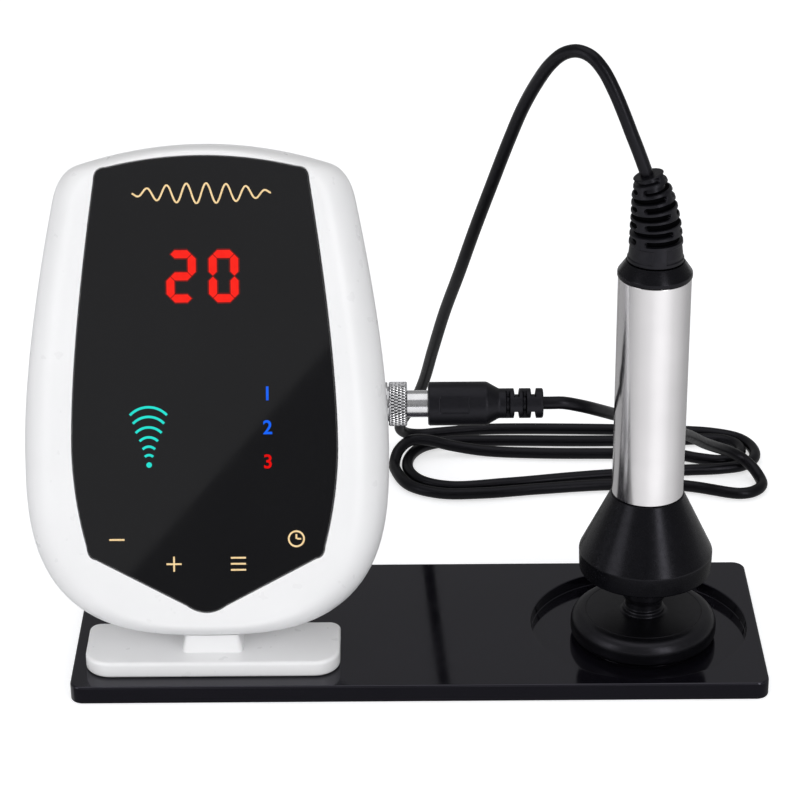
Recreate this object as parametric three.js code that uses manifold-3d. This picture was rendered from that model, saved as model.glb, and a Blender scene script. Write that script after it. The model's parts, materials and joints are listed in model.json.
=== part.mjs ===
// Monopolar radio frequency machine: a console on a white foot and a corded handset with a
// mushroom electrode, both standing on a black tray. Millimetres, +Z up. The origin is the
// middle of the tray's underside, and the viewer stands at -Y.

import * as THREE from 'three';
import { mergeVertices } from 'three/addons/utils/BufferGeometryUtils.js';
import Module from 'manifold-3d';

const wasm = await Module();
wasm.setup();

// Clearances that several pieces share
const seatGap = 0.3; // between pieces that touch
const runningGap = 0.4; // between pieces that move on each other
const overrun = 1; // how far a cutter runs past the face that it cuts
const weld = 0.0001; // vertices nearer than this are one

// Tray
const trayWidth = 240;
const trayDepth = 85;
const trayHeight = 6.6;
const trayCornerRadius = 4.5;
const trayEdgeRound = 0.7;
const wellRadius = 38.35;
const wellDepth = 4.4;
const wellX = 78.4;
const wellY = -1.3;
const padRadius = 5;
const padThickness = 1;
const trayPadInsetX = 12;
const trayPadInsetY = 11;

// Foot under the console
const footX = -71.7;
const footFrontY = -36.5;
const footWidth = 88.3;
const footBarDepth = 27.65;
const footThickness = 5.6;
const footFrontRadius = 9;
const footBackRadius = 4;
const footEdgeRound = 1.2;
const tongueWidth = 44;
const tongueBackY = 30;
const neckWidth = 21;
const neckTopWidth = 19;
const neckFrontY = -29;
const neckDepth = 22;
const neckRise = 12; // taller than it shows: the casing cuts it off
const footPadProud = 0.3;
const footPadInset = 9;
const footPadBackInset = 8;
const footPadTongueInset = 11;

// Console: x runs across its face, z up the face and y into it, from the face's lowest point
const lean = THREE.MathUtils.degToRad(20);
const consoleX = -72.7;
const consoleY = -38;
const consoleZ = 24;
const faceHeight = 167.7;
const faceHalfWidth = 61.9;
const widestHeight = 62;
const lowerCurvePower = 2.88;
const sideControlHeight = 95;
const shoulderHeight = 148;
const shoulderHalfWidth = 51.9;
const shoulderControlHeight = 158.7;
const shoulderControlHalfWidth = 49.8;
const crownHeight = 160.8;
const crownHalfWidth = 43;
const frontDepth = 13;
const rearStraight = 4;
const rearDepth = 20;
const wall = 2.2;
const frontInset = { side: 14.9, top: 2.6, bottom: 5 };
const rearInset = { side: 18, top: 17, bottom: 22 };
const roundSteps = 5;
const rearSteps = 4;
const lowerSteps = 9;
const sideSteps = 4;
const shoulderSteps = 3;
const crownSteps = 6;
const partingDepth = frontDepth + seatGap; // where the rear shell starts
const consoleDepth = partingDepth + rearStraight + rearDepth;

// Front window and what stands behind it
const panelThickness = 1.6;
const panelTipHeight = 8.1;
const panelTipHalfWidth = 7;
const panelTipRise = 2.6;
const panelCornerHeight = 26.6;
const panelCornerHalfWidth = 37.6;
const panelHipHeight = 31;
const panelHipHalfWidth = 40.6;
const panelWidestHeight = 64;
const panelHalfWidth = 45.2;
const panelSideControlHeight = 97;
const panelShoulderHeight = 155.5;
const panelShoulderHalfWidth = 36.3;
const panelCrownHeight = 160.1;
const panelCrownHalfWidth = 32;
const panelTopHeight = 163.9;
const panelBulge = 0.3; // how far the hip curves stand off their corners
const panelCurveSteps = 5;
const ledgeThickness = 1.8; // plastic left behind the window's recess
const keyHeights = [33.3, 24.8, 24.8, 33.3];
const keyShares = [-0.673, -0.243, 0.243, 0.684]; // of the window's half width
const keyPlaces = keyShares.map((share) => share * panelHalfWidth);
const keyHoleRadius = 5.5;
const springRadius = 4.4;
const springWall = 1.2;
const displayHeight = 123.3;
const displayWidth = 34;
const displayTall = 22;
const displayDepth = 7;
const guideHeight = 71;
const guideTall = 32;
const guideRightX = 21.5;
const guideLeftX = -19;
const guideWindowWidth = 24;
const guideWindowTall = 30;
const guidePlate = 2;

// Control board and its parts
const boardWidth = 72;
const boardBottom = 22;
const boardTop = 138;
const boardThickness = 1.6;
const boardDepth = 11.2; // its front face
const postRadius = 3;
const postX = 32;
const postLow = 50;
const postHigh = 133;
const buzzerRadius = 6;
const buzzerTall = 8;
const buzzerPort = 1;
const buzzerX = 24;
const buzzerHeight = 122;
const coreWidth = 30;
const coreTall = 24;
const coreDepth = 11;
const coreHeight = 104;
const windingRadius = 9;
const windingProud = 3;
const capacitorRadius = 6.3;
const capacitorTall = 15;
const capacitorX = 18;
const capacitorHeight = 66;
const sinkWidth = 26;
const sinkTall = 20;
const sinkDepth = 12;
const sinkX = -19;
const sinkHeight = 72;
const finCount = 5;
const finThickness = 1.6;
const sinkBase = 3;

// Screws
const screwShank = 1.4;
const screwHead = 2.8;
const screwHeadTall = 1.8;
const caseScrewLength = 13;
const caseScrewPlaces = [[-50, 40], [50, 40], [-43.5, 136], [43.5, 136]];
const bossRadius = 4;
const bossWallDepth = 3.4;
const counterboreDepth = 25;
const boardScrewLength = 7;
const boardScrewPlaces = [[-postX, postLow], [postX, postHigh]];
const standScrewLength = 10;
const standScrewHeight = 9;

// Foot's insert in the casing
const insertWidth = 15;
const insertDepth = 9;
const insertStart = 18;
const insertTop = 14;
const insertBottom = -5;

// Handset socket in the console's right side, with its axis along x
const socketHeight = 77.3;
const socketDepth = 20;
const collarFace = 62.3;
const collarThickness = 1.9;
const collarRadius = 7.6;
const bushingRadius = 6.1;
const bushingEnd = 66.1;
const socketBack = 46;
const socketFloor = 1.6;
const socketBore = 5;
const nutRadius = 8.6;
const nutThickness = 2.6;
const nutSides = 6;
const shellSideWall = 2.3; // casing wall at the socket, with its spot face
const contactRadius = 3.6;
const contactFront = 58;
const pinHoleRadius = 0.9;
const pinHoleDepth = 9;
const pinRadius = 0.6;
const pinCircle = 2;
const pinCount = 3;

// Plug
const shellRadius = 4.7;
const shellWall = 0.6;
const shellFront = 50;
const shellBack = 84;
const shellStopRadius = 5.8;
const shellStopFront = 66.6;
const shellStopLong = 0.9;
const plugInsertFront = 59;
const plugInsertLong = 8;
const pinFront = 51;
const ringFront = 62.7;
const ringBack = 69.1;
const ringRadius = 7.7;
const ringLip = 1.2;
const ringGrooves = 2;
const ringGrooveDepth = 0.35;
const plugFront = 76.3;
const plugRadius = 7.6;
const plugLong = 20.3;
const plugTaperLong = 4.2;
const plugTailRadius = 5.2;
const plugTailEnd = 116.2;
const plugRibs = 3;
const plugRibGap = 1.7;
const plugCoreRadius = 3;
const plugEdge = 0.8;

// Power inlet and rocker switch in the console's back
const inletX = 24;
const inletHeight = 42;
const inletRadius = 5.4;
const inletFlangeRadius = 6.8;
const inletFlange = 1.2;
const inletLong = 12;
const inletBoreRadius = 3.2;
const inletBoreDeep = 9.5;
const inletPinRadius = 1;
const inletPinShort = 1.5;
const switchX = -22;
const switchHeight = 42;
const switchWidth = 15;
const switchTall = 21;
const switchBezel = 1.5;
const switchBodyWidth = 13;
const switchBodyTall = 19;
const switchBodyDeep = 11;
const rockerWidth = 10.6;
const rockerHalfTall = 7.3;
const rockerEndRise = 3.4;
const rockerMidRise = 2.2;
const rockerShoulder = -1;
const rockerBelly = -5;
const rockerBellyHalf = 3;
const rockerPivot = -3;
const rockerPinRadius = 1;
const rockerPinLong = 0.8;
const rockerTilt = THREE.MathUtils.degToRad(10);
const switchWellTall = 17;
const switchWellDeep = 8.6;
const bladeWidth = 4.8;
const bladeThickness = 0.8;
const bladeLong = 4;
const bladeSpread = 10;
const ventCount = 5;
const ventPitch = 5;
const ventWidth = 36;
const ventTall = 1.8;
const ventHeight = 112;

// Handset, standing in the tray's well
const handsetX = 80;
const tubeRadius = 12.45;
const tubeWall = 1.4;
const tubeBottom = 59.7;
const tubeTop = 141.3;
const capRadius = 12.75;
const capBand = 1.4;
const capTop = 147;
const capTopRadius = 9.9;
const spigotLong = 8.5;
const stemRadius = 4.7;
const stemLong = 11;
const bootRadius = 9.8;
const bootBottom = 147.3;
const bootTall = 31.3;
const bootBand = 5.6; // its plain lower part
const bootLean = 2.6;
const bootSlotRows = 8;
const bootSlotPitch = 2.95;
const bootSlotTall = 1.3;
const bootSlotAngle = THREE.MathUtils.degToRad(136);
const bootSlotTurn = THREE.MathUtils.degToRad(90);
const bootSlotStart = THREE.MathUtils.degToRad(-48);
const bootSlotDepth = 1.8;
const bootSlotSteps = 3;
// its outline as shares of its height and of its radius, from the bottom up
const bootOutlineShares = [
  [0, 1], [0.09, 1], [0.25, 0.95], [0.5, 0.9], [0.735, 0.786], [0.9, 0.674], [1, 0.53],
];
const coneTop = 59.4;
const coneTopRadius = 12.7;
const coneWideRadius = 23.44;
const coneWideHeight = 37;
const coneBandRadius = 23.2;
const coneBottom = 30;
const coneSocketRadius = 8.65;
const coneSocketTop = 46;
const coneBoreRadius = 5;
const coneSpigotTop = 70;
const leadRadius = 1.25;
const brassWall = 0.5;
const brassLong = 13;
const studRadius = 3.9;
const studTop = 55;
const studBottom = 28;
const contactSpringWall = 1;
const contactSpringRadius = 3.6;
const contactSpringLong = 11;
const contactPlateThick = 1.2;

// Electrode head
const headFaceRadius = 22.4;
const headFaceThick = 1.2;
const headRimRadius = 25.3;
const headRimBottom = 3.1;
const headRimMiddle = 6.4;
const headRimBand = 2;
const headRimTop = 9.9;
const headRimInner = 21.5;
const headRimBandRadius = 23.6;
const headFlareRadius = 10.5;
const headFlareHeight = 12.2;
const neckRadius = 6.5;
const neckBottom = 15.5;
const neckTop = 23.3;
const hubRadius = 8.25;
const hubBottom = 24.8;
const hubTop = 36;
const sealRadius = 5.6;
const sealThick = 1;
const sealSides = 6;

// Cable
const cableRadius = 2.25;
const cableSides = 8;
const loopSides = 6;
const gapSamples = 20; // points looked at between two chosen ones

// Facets round a full turn
const roundFine = 40;
const roundMedium = 24;
const roundSmall = 12;
const cornerSteps = 4; // round the corner of a plate
const hiddenCornerSteps = 2;

// Places worked out from the sizes above
const wellFloor = trayHeight - wellDepth;
const headBottom = wellFloor + seatGap;
const footBottom = trayHeight + footPadProud;
const footTop = footBottom + footThickness;
const recessDepth = panelThickness + seatGap;
const ledgeBack = recessDepth + ledgeThickness;
const boardBack = boardDepth + boardThickness;
const displayBack = boardDepth - seatGap;
const rearWallInside = consoleDepth - wall;
const socketCollarBack = collarFace - collarThickness;
const tubeInside = tubeRadius - tubeWall;

// Finishes
function finish(color, roughness, metalness) {
  return () => new THREE.MeshStandardMaterial({ color, roughness, metalness });
}
const whiteGloss = finish(0xf3f3f4, 0.18, 0);
const blackGloss = finish(0x17161a, 0.08, 0);
const blackSatin = finish(0x151417, 0.35, 0);
const blackRubber = finish(0x1b1a1e, 0.55, 0);
const greyRubber = finish(0x4a4a4d, 0.8, 0);
const panelGlass = finish(0x1a1a1c, 0.05, 0);
const polishedSteel = finish(0xd9d6d8, 0.22, 1);
const nickel = finish(0xc9c9cc, 0.25, 1);
const brass = finish(0xc9a24b, 0.35, 1);
const boardGreen = finish(0x1f6b3a, 0.5, 0);
const ferrite = finish(0x3a3a3e, 0.6, 0);
const aluminium = finish(0xb5b7ba, 0.45, 1);
const displayRed = finish(0x5a0b0b, 0.3, 0);
const clearGuide = finish(0xe6e8ea, 0.2, 0);

// Turns a closed geometry into welded vertices and triangles with its faces pointing out
function welded(geometry) {
  const plain = geometry.clone();
  plain.deleteAttribute('normal');
  plain.deleteAttribute('uv');
  const merged = mergeVertices(plain, weld);
  const places = merged.attributes.position.array;
  const old = merged.index.array;
  const faces = [];
  for (let i = 0; i < old.length; i += 3) {
    const [a, b, c] = [old[i], old[i + 1], old[i + 2]];
    if (a !== b && b !== c && c !== a) faces.push(a, b, c);
  }
  const [a, b, c] = [new THREE.Vector3(), new THREE.Vector3(), new THREE.Vector3()];
  let volume = 0;
  for (let i = 0; i < faces.length; i += 3) {
    a.fromArray(places, 3 * faces[i]);
    b.fromArray(places, 3 * faces[i + 1]);
    c.fromArray(places, 3 * faces[i + 2]);
    volume += a.dot(b.cross(c));
  }
  if (volume < 0) faces.reverse();
  const result = new THREE.BufferGeometry();
  result.setAttribute('position', new THREE.BufferAttribute(Float32Array.from(places), 3));
  result.setIndex(faces);
  return result;
}

function solid(geometry) {
  const closed = welded(geometry);
  return new wasm.Manifold(new wasm.Mesh({
    numProp: 3,
    vertProperties: closed.attributes.position.array,
    triVerts: Uint32Array.from(closed.index.array),
  }));
}

function geometryOf(body) {
  const mesh = body.getMesh();
  const geometry = new THREE.BufferGeometry();
  geometry.setAttribute('position', new THREE.BufferAttribute(Float32Array.from(mesh.vertProperties), 3));
  geometry.setIndex(Array.from(mesh.triVerts));
  return geometry;
}

// Joins the first geometry with those in added, then cuts those in removed out of it
function carve(geometry, added, removed) {
  let body = solid(geometry);
  for (const extra of added) body = body.add(solid(extra));
  for (const tool of removed) body = body.subtract(solid(tool));
  return geometryOf(body);
}

// A closed outline of [radius, height] turned round the z axis
function turned(outline, facets) {
  const points = outline.map(([radius, height]) => new THREE.Vector2(radius, height));
  return welded(new THREE.LatheGeometry(points, facets).rotateX(Math.PI / 2));
}

// A ring, or a plain disc where the inner radius is zero
function ring(outer, inner, bottom, top, facets) {
  if (inner === 0) return turned([[0, bottom], [outer, bottom], [outer, top], [0, top]], facets);
  return turned([[inner, bottom], [outer, bottom], [outer, top], [inner, top], [inner, bottom]], facets);
}

// The same turned shapes with the axis along x (heights become places on x) or along y
function alongX(geometry) {
  return geometry.rotateY(Math.PI / 2);
}

function alongY(geometry) {
  return geometry.rotateX(-Math.PI / 2);
}

function block(width, depth, tall, x, y, z) {
  return new THREE.BoxGeometry(width, depth, tall).translate(x, y, z);
}

// A block given by its lowest and highest corners
function between(low, high) {
  const size = high.map((value, axis) => value - low[axis]);
  const middle = high.map((value, axis) => (value + low[axis]) / 2);
  return block(...size, ...middle);
}

// A plan outline with a radius of its own at each corner, in the order front left, front right,
// back right, back left
function roundedPlan(left, right, front, back, radii) {
  const [fl, fr, br, bl] = radii;
  const quarter = Math.PI / 2;
  const plan = new THREE.Shape();
  plan.absarc(left + fl, front + fl, fl, 2 * quarter, 3 * quarter);
  plan.absarc(right - fr, front + fr, fr, 3 * quarter, 4 * quarter);
  plan.absarc(right - br, back - br, br, 0, quarter);
  plan.absarc(left + bl, back - bl, bl, quarter, 2 * quarter);
  return plan;
}

// A plate on a plan outline whose top and bottom edges are eased by round
function easedPlate(plan, bottom, top, round, steps) {
  return welded(new THREE.ExtrudeGeometry(plan, {
    depth: top - bottom - 2 * round,
    bevelThickness: round,
    bevelSize: round,
    bevelOffset: -round,
    bevelSegments: 2,
    curveSegments: steps,
  }).translate(0, 0, bottom + round));
}

// A screw along y with its head's top at headPlace, pointing to lower y
function screw(x, z, headPlace, length) {
  const outline = [
    [0, headPlace - screwHeadTall - length],
    [screwShank, headPlace - screwHeadTall - length],
    [screwShank, headPlace - screwHeadTall],
    [screwHead, headPlace - screwHeadTall],
    [screwHead, headPlace],
    [0, headPlace],
  ];
  return alongY(turned(outline, roundSmall)).translate(x, 0, z);
}

function rod(radius, start, end, x, z, facets) {
  return alongY(ring(radius, 0, start, end, facets)).translate(x, 0, z);
}

// The console's outline, from the bottom round its right side to the top and back
function consoleOutline() {
  const half = [];
  for (let i = 0; i < lowerSteps; i += 1) {
    const turn = (i / lowerSteps) * (Math.PI / 2);
    const across = Math.sin(turn) ** (2 / lowerCurvePower);
    const down = Math.cos(turn) ** (2 / lowerCurvePower);
    half.push(new THREE.Vector2(faceHalfWidth * across, widestHeight * (1 - down)));
  }
  const side = new THREE.QuadraticBezierCurve(
    new THREE.Vector2(faceHalfWidth, widestHeight),
    new THREE.Vector2(faceHalfWidth, sideControlHeight),
    new THREE.Vector2(shoulderHalfWidth, shoulderHeight),
  );
  const shoulder = new THREE.QuadraticBezierCurve(
    new THREE.Vector2(shoulderHalfWidth, shoulderHeight),
    new THREE.Vector2(shoulderControlHalfWidth, shoulderControlHeight),
    new THREE.Vector2(crownHalfWidth, crownHeight),
  );
  half.push(...side.getPoints(sideSteps), ...shoulder.getPoints(shoulderSteps).slice(1));
  const crown = new THREE.QuadraticBezierCurve(
    new THREE.Vector2(crownHalfWidth, crownHeight),
    new THREE.Vector2(0, 2 * faceHeight - crownHeight),
    new THREE.Vector2(-crownHalfWidth, crownHeight),
  );
  const mirrored = half.slice(1).reverse().map((point) => new THREE.Vector2(-point.x, point.y));
  return [...half, ...crown.getPoints(crownSteps).slice(1, -1), ...mirrored];
}
const outline = consoleOutline();

// The outline drawn in by an amount at its sides, top and bottom, at a depth behind the face
function level(depth, side, top, bottom) {
  const across = (faceHalfWidth - side) / faceHalfWidth;
  const up = (faceHeight - top - bottom) / faceHeight;
  return outline.map((point) => [point.x * across, depth, bottom + point.y * up]);
}

// Skins a closed solid over levels that are listed from front to back
function loft(levels) {
  const count = levels[0].length;
  const places = levels.flat(2);
  const faces = [];
  for (let k = 0; k + 1 < levels.length; k += 1) {
    for (let i = 0; i < count; i += 1) {
      const next = (i + 1) % count;
      const [a, b] = [k * count + i, k * count + next];
      const [d, c] = [a + count, b + count];
      faces.push(a, d, c, a, c, b);
    }
  }
  const last = (levels.length - 1) * count;
  const flat = levels[0].map(([x, , z]) => new THREE.Vector2(x, z));
  for (const [a, b, c] of THREE.ShapeUtils.triangulateShape(flat, [])) {
    faces.push(a, b, c, last + c, last + b, last + a);
  }
  const geometry = new THREE.BufferGeometry();
  geometry.setAttribute('position', new THREE.Float32BufferAttribute(places, 3));
  geometry.setIndex(faces);
  return geometry;
}

// The front half of the casing's form, made smaller by shrink and starting at frontFace
function frontForm(shrink, frontFace, back) {
  const levels = [];
  for (let i = 0; i <= roundSteps; i += 1) {
    const turn = (i / roundSteps) * (Math.PI / 2);
    const share = 1 - Math.sin(turn);
    const depth = frontFace + (frontDepth - frontFace) * (1 - Math.cos(turn));
    levels.push(level(
      depth,
      shrink + frontInset.side * share,
      shrink + frontInset.top * share,
      shrink + frontInset.bottom * share,
    ));
  }
  if (back > frontDepth) levels.push(level(back, shrink, shrink, shrink));
  return loft(levels);
}

// The rear half, from start to the back, made smaller by shrink
function rearForm(shrink, start) {
  const levels = [level(start, shrink, shrink, shrink)];
  for (let i = 0; i <= rearSteps; i += 1) {
    const turn = (i / rearSteps) * (Math.PI / 2);
    const share = 1 - Math.cos(turn);
    levels.push(level(
      partingDepth + rearStraight + (rearDepth - shrink) * Math.sin(turn),
      shrink + rearInset.side * share,
      shrink + rearInset.top * share,
      shrink + rearInset.bottom * share,
    ));
  }
  return loft(levels);
}

// The window's outline, given as a shape in x and height
function panelShape(grow) {
  const tall = panelTopHeight - panelTipHeight;
  const across = (panelHalfWidth + grow) / panelHalfWidth;
  const up = (tall + 2 * grow) / tall;
  const place = (x, z) => [x * across, panelTipHeight - grow + (z - panelTipHeight) * up];
  const shape = new THREE.Shape();
  shape.moveTo(...place(panelTipHalfWidth, panelTipHeight + panelTipRise));
  shape.lineTo(...place(panelCornerHalfWidth, panelCornerHeight));
  shape.quadraticCurveTo(
    ...place(panelHipHalfWidth - panelBulge, panelCornerHeight + panelBulge),
    ...place(panelHipHalfWidth, panelHipHeight),
  );
  shape.quadraticCurveTo(
    ...place(panelHalfWidth - panelBulge, (panelHipHeight + panelWidestHeight) / 2),
    ...place(panelHalfWidth, panelWidestHeight),
  );
  shape.quadraticCurveTo(
    ...place(panelHalfWidth, panelSideControlHeight),
    ...place(panelShoulderHalfWidth, panelShoulderHeight),
  );
  shape.quadraticCurveTo(
    ...place(panelShoulderHalfWidth, panelCrownHeight),
    ...place(panelCrownHalfWidth, panelCrownHeight),
  );
  shape.quadraticCurveTo(
    ...place(0, 2 * panelTopHeight - panelCrownHeight),
    ...place(-panelCrownHalfWidth, panelCrownHeight),
  );
  shape.quadraticCurveTo(
    ...place(-panelShoulderHalfWidth, panelCrownHeight),
    ...place(-panelShoulderHalfWidth, panelShoulderHeight),
  );
  shape.quadraticCurveTo(
    ...place(-panelHalfWidth, panelSideControlHeight),
    ...place(-panelHalfWidth, panelWidestHeight),
  );
  shape.quadraticCurveTo(
    ...place(panelBulge - panelHalfWidth, (panelHipHeight + panelWidestHeight) / 2),
    ...place(-panelHipHalfWidth, panelHipHeight),
  );
  shape.quadraticCurveTo(
    ...place(panelBulge - panelHipHalfWidth, panelCornerHeight + panelBulge),
    ...place(-panelCornerHalfWidth, panelCornerHeight),
  );
  shape.lineTo(...place(-panelTipHalfWidth, panelTipHeight + panelTipRise));
  shape.quadraticCurveTo(
    ...place(0, panelTipHeight - panelTipRise),
    ...place(panelTipHalfWidth, panelTipHeight + panelTipRise),
  );
  return shape;
}

// A slab of a shape in x and height, between two depths
function slab(shape, start, end) {
  return new THREE.ExtrudeGeometry(shape, {
    depth: end - start,
    bevelEnabled: false,
    curveSegments: panelCurveSteps,
  }).rotateX(Math.PI / 2).translate(0, end, 0);
}

// The object and its nested groups
const machine = new THREE.Group();
const consoleGroup = new THREE.Group();
consoleGroup.position.set(consoleX, consoleY, consoleZ);
consoleGroup.rotation.x = -lean;
const socketGroup = new THREE.Group();
socketGroup.position.set(0, socketDepth, socketHeight);
const handsetGroup = new THREE.Group();
handsetGroup.position.set(handsetX, wellY, 0);
consoleGroup.add(socketGroup);
machine.add(consoleGroup, handsetGroup);
machine.updateMatrixWorld(true);

function piece(group, name, geometry, material) {
  const mesh = new THREE.Mesh(welded(geometry), material());
  mesh.name = name;
  group.add(mesh);
  return mesh;
}

// Tray and its pads
function makeTray() {
  const [halfWidth, halfDepth] = [trayWidth / 2, trayDepth / 2];
  const corners = Array(4).fill(trayCornerRadius);
  const plan = roundedPlan(-halfWidth, halfWidth, -halfDepth, halfDepth, corners);
  const plate = easedPlate(plan, 0, trayHeight, trayEdgeRound, cornerSteps);
  const well = ring(wellRadius, 0, wellFloor, trayHeight + overrun, roundFine).translate(wellX, wellY, 0);
  const places = [];
  for (const sideX of [-1, 1]) {
    for (const sideY of [-1, 1]) {
      places.push([sideX * (halfWidth - trayPadInsetX), sideY * (halfDepth - trayPadInsetY)]);
    }
  }
  const recess = ([x, y]) => ring(padRadius + seatGap, 0, -overrun, padThickness + seatGap, roundSmall)
    .translate(x, y, 0);
  piece(machine, 'tray', carve(plate, [], [well, ...places.map(recess)]), blackGloss);
  places.forEach(([x, y], i) => {
    const pad = ring(padRadius, 0, 0, padThickness, roundSmall).translate(x, y, 0);
    piece(machine, `tray_pad_${i + 1}`, pad, greyRubber);
  });
}

// The foot, its neck and the insert that goes up into the casing
function makeFoot() {
  const [left, right] = [footX - footWidth / 2, footX + footWidth / 2];
  const barBack = footFrontY + footBarDepth;
  const radii = [footFrontRadius, footFrontRadius, footBackRadius, footBackRadius];
  const barPlan = roundedPlan(left, right, footFrontY, barBack, radii);
  const bar = easedPlate(barPlan, footBottom, footTop, footEdgeRound, cornerSteps);
  const halfTongue = tongueWidth / 2;
  const tonguePlan = roundedPlan(footX - halfTongue, footX + halfTongue, neckFrontY, tongueBackY,
    Array(4).fill(footBackRadius));
  const tongue = easedPlate(tonguePlan, footBottom, footTop, footEdgeRound, hiddenCornerSteps);
  const neckShape = new THREE.Shape([
    new THREE.Vector2(-neckWidth / 2, footTop - footEdgeRound),
    new THREE.Vector2(neckWidth / 2, footTop - footEdgeRound),
    new THREE.Vector2(neckTopWidth / 2, footTop + neckRise),
    new THREE.Vector2(-neckTopWidth / 2, footTop + neckRise),
  ]);
  const neck = slab(neckShape, neckFrontY, neckFrontY + neckDepth).translate(footX, 0, 0);
  const casing = [frontForm(-seatGap, -seatGap, partingDepth + seatGap), rearForm(-seatGap, partingDepth)];
  const trimmed = carve(neck, [], casing.map((form) => form.applyMatrix4(consoleGroup.matrixWorld)));
  const insert = between(
    [-insertWidth / 2, insertStart, insertBottom],
    [insertWidth / 2, insertStart + insertDepth, insertTop],
  );
  const hole = rod(screwShank + seatGap, insertStart - overrun, insertStart + insertDepth + overrun, 0,
    standScrewHeight, roundSmall);
  const placed = geometryOf(solid(insert).subtract(solid(hole))).applyMatrix4(consoleGroup.matrixWorld);
  const backPadX = tongueWidth / 2 - footPadTongueInset;
  const padPlaces = [
    [left + footPadInset, footFrontY + footBarDepth / 2],
    [right - footPadInset, footFrontY + footBarDepth / 2],
    [footX - backPadX, tongueBackY - footPadBackInset],
    [footX + backPadX, tongueBackY - footPadBackInset],
  ];
  const padTop = trayHeight + padThickness;
  const recess = ([x, y]) => ring(padRadius + seatGap, 0, footBottom - overrun, padTop + seatGap, roundSmall)
    .translate(x, y, 0);
  const foot = carve(bar, [tongue, trimmed, placed], padPlaces.map(recess));
  piece(machine, 'stand_foot', foot, whiteGloss);
  padPlaces.forEach(([x, y], i) => {
    const pad = ring(padRadius, 0, trayHeight, padTop, roundSmall).translate(x, y, 0);
    piece(machine, `foot_pad_${i + 1}`, pad, greyRubber);
  });
}

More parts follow.
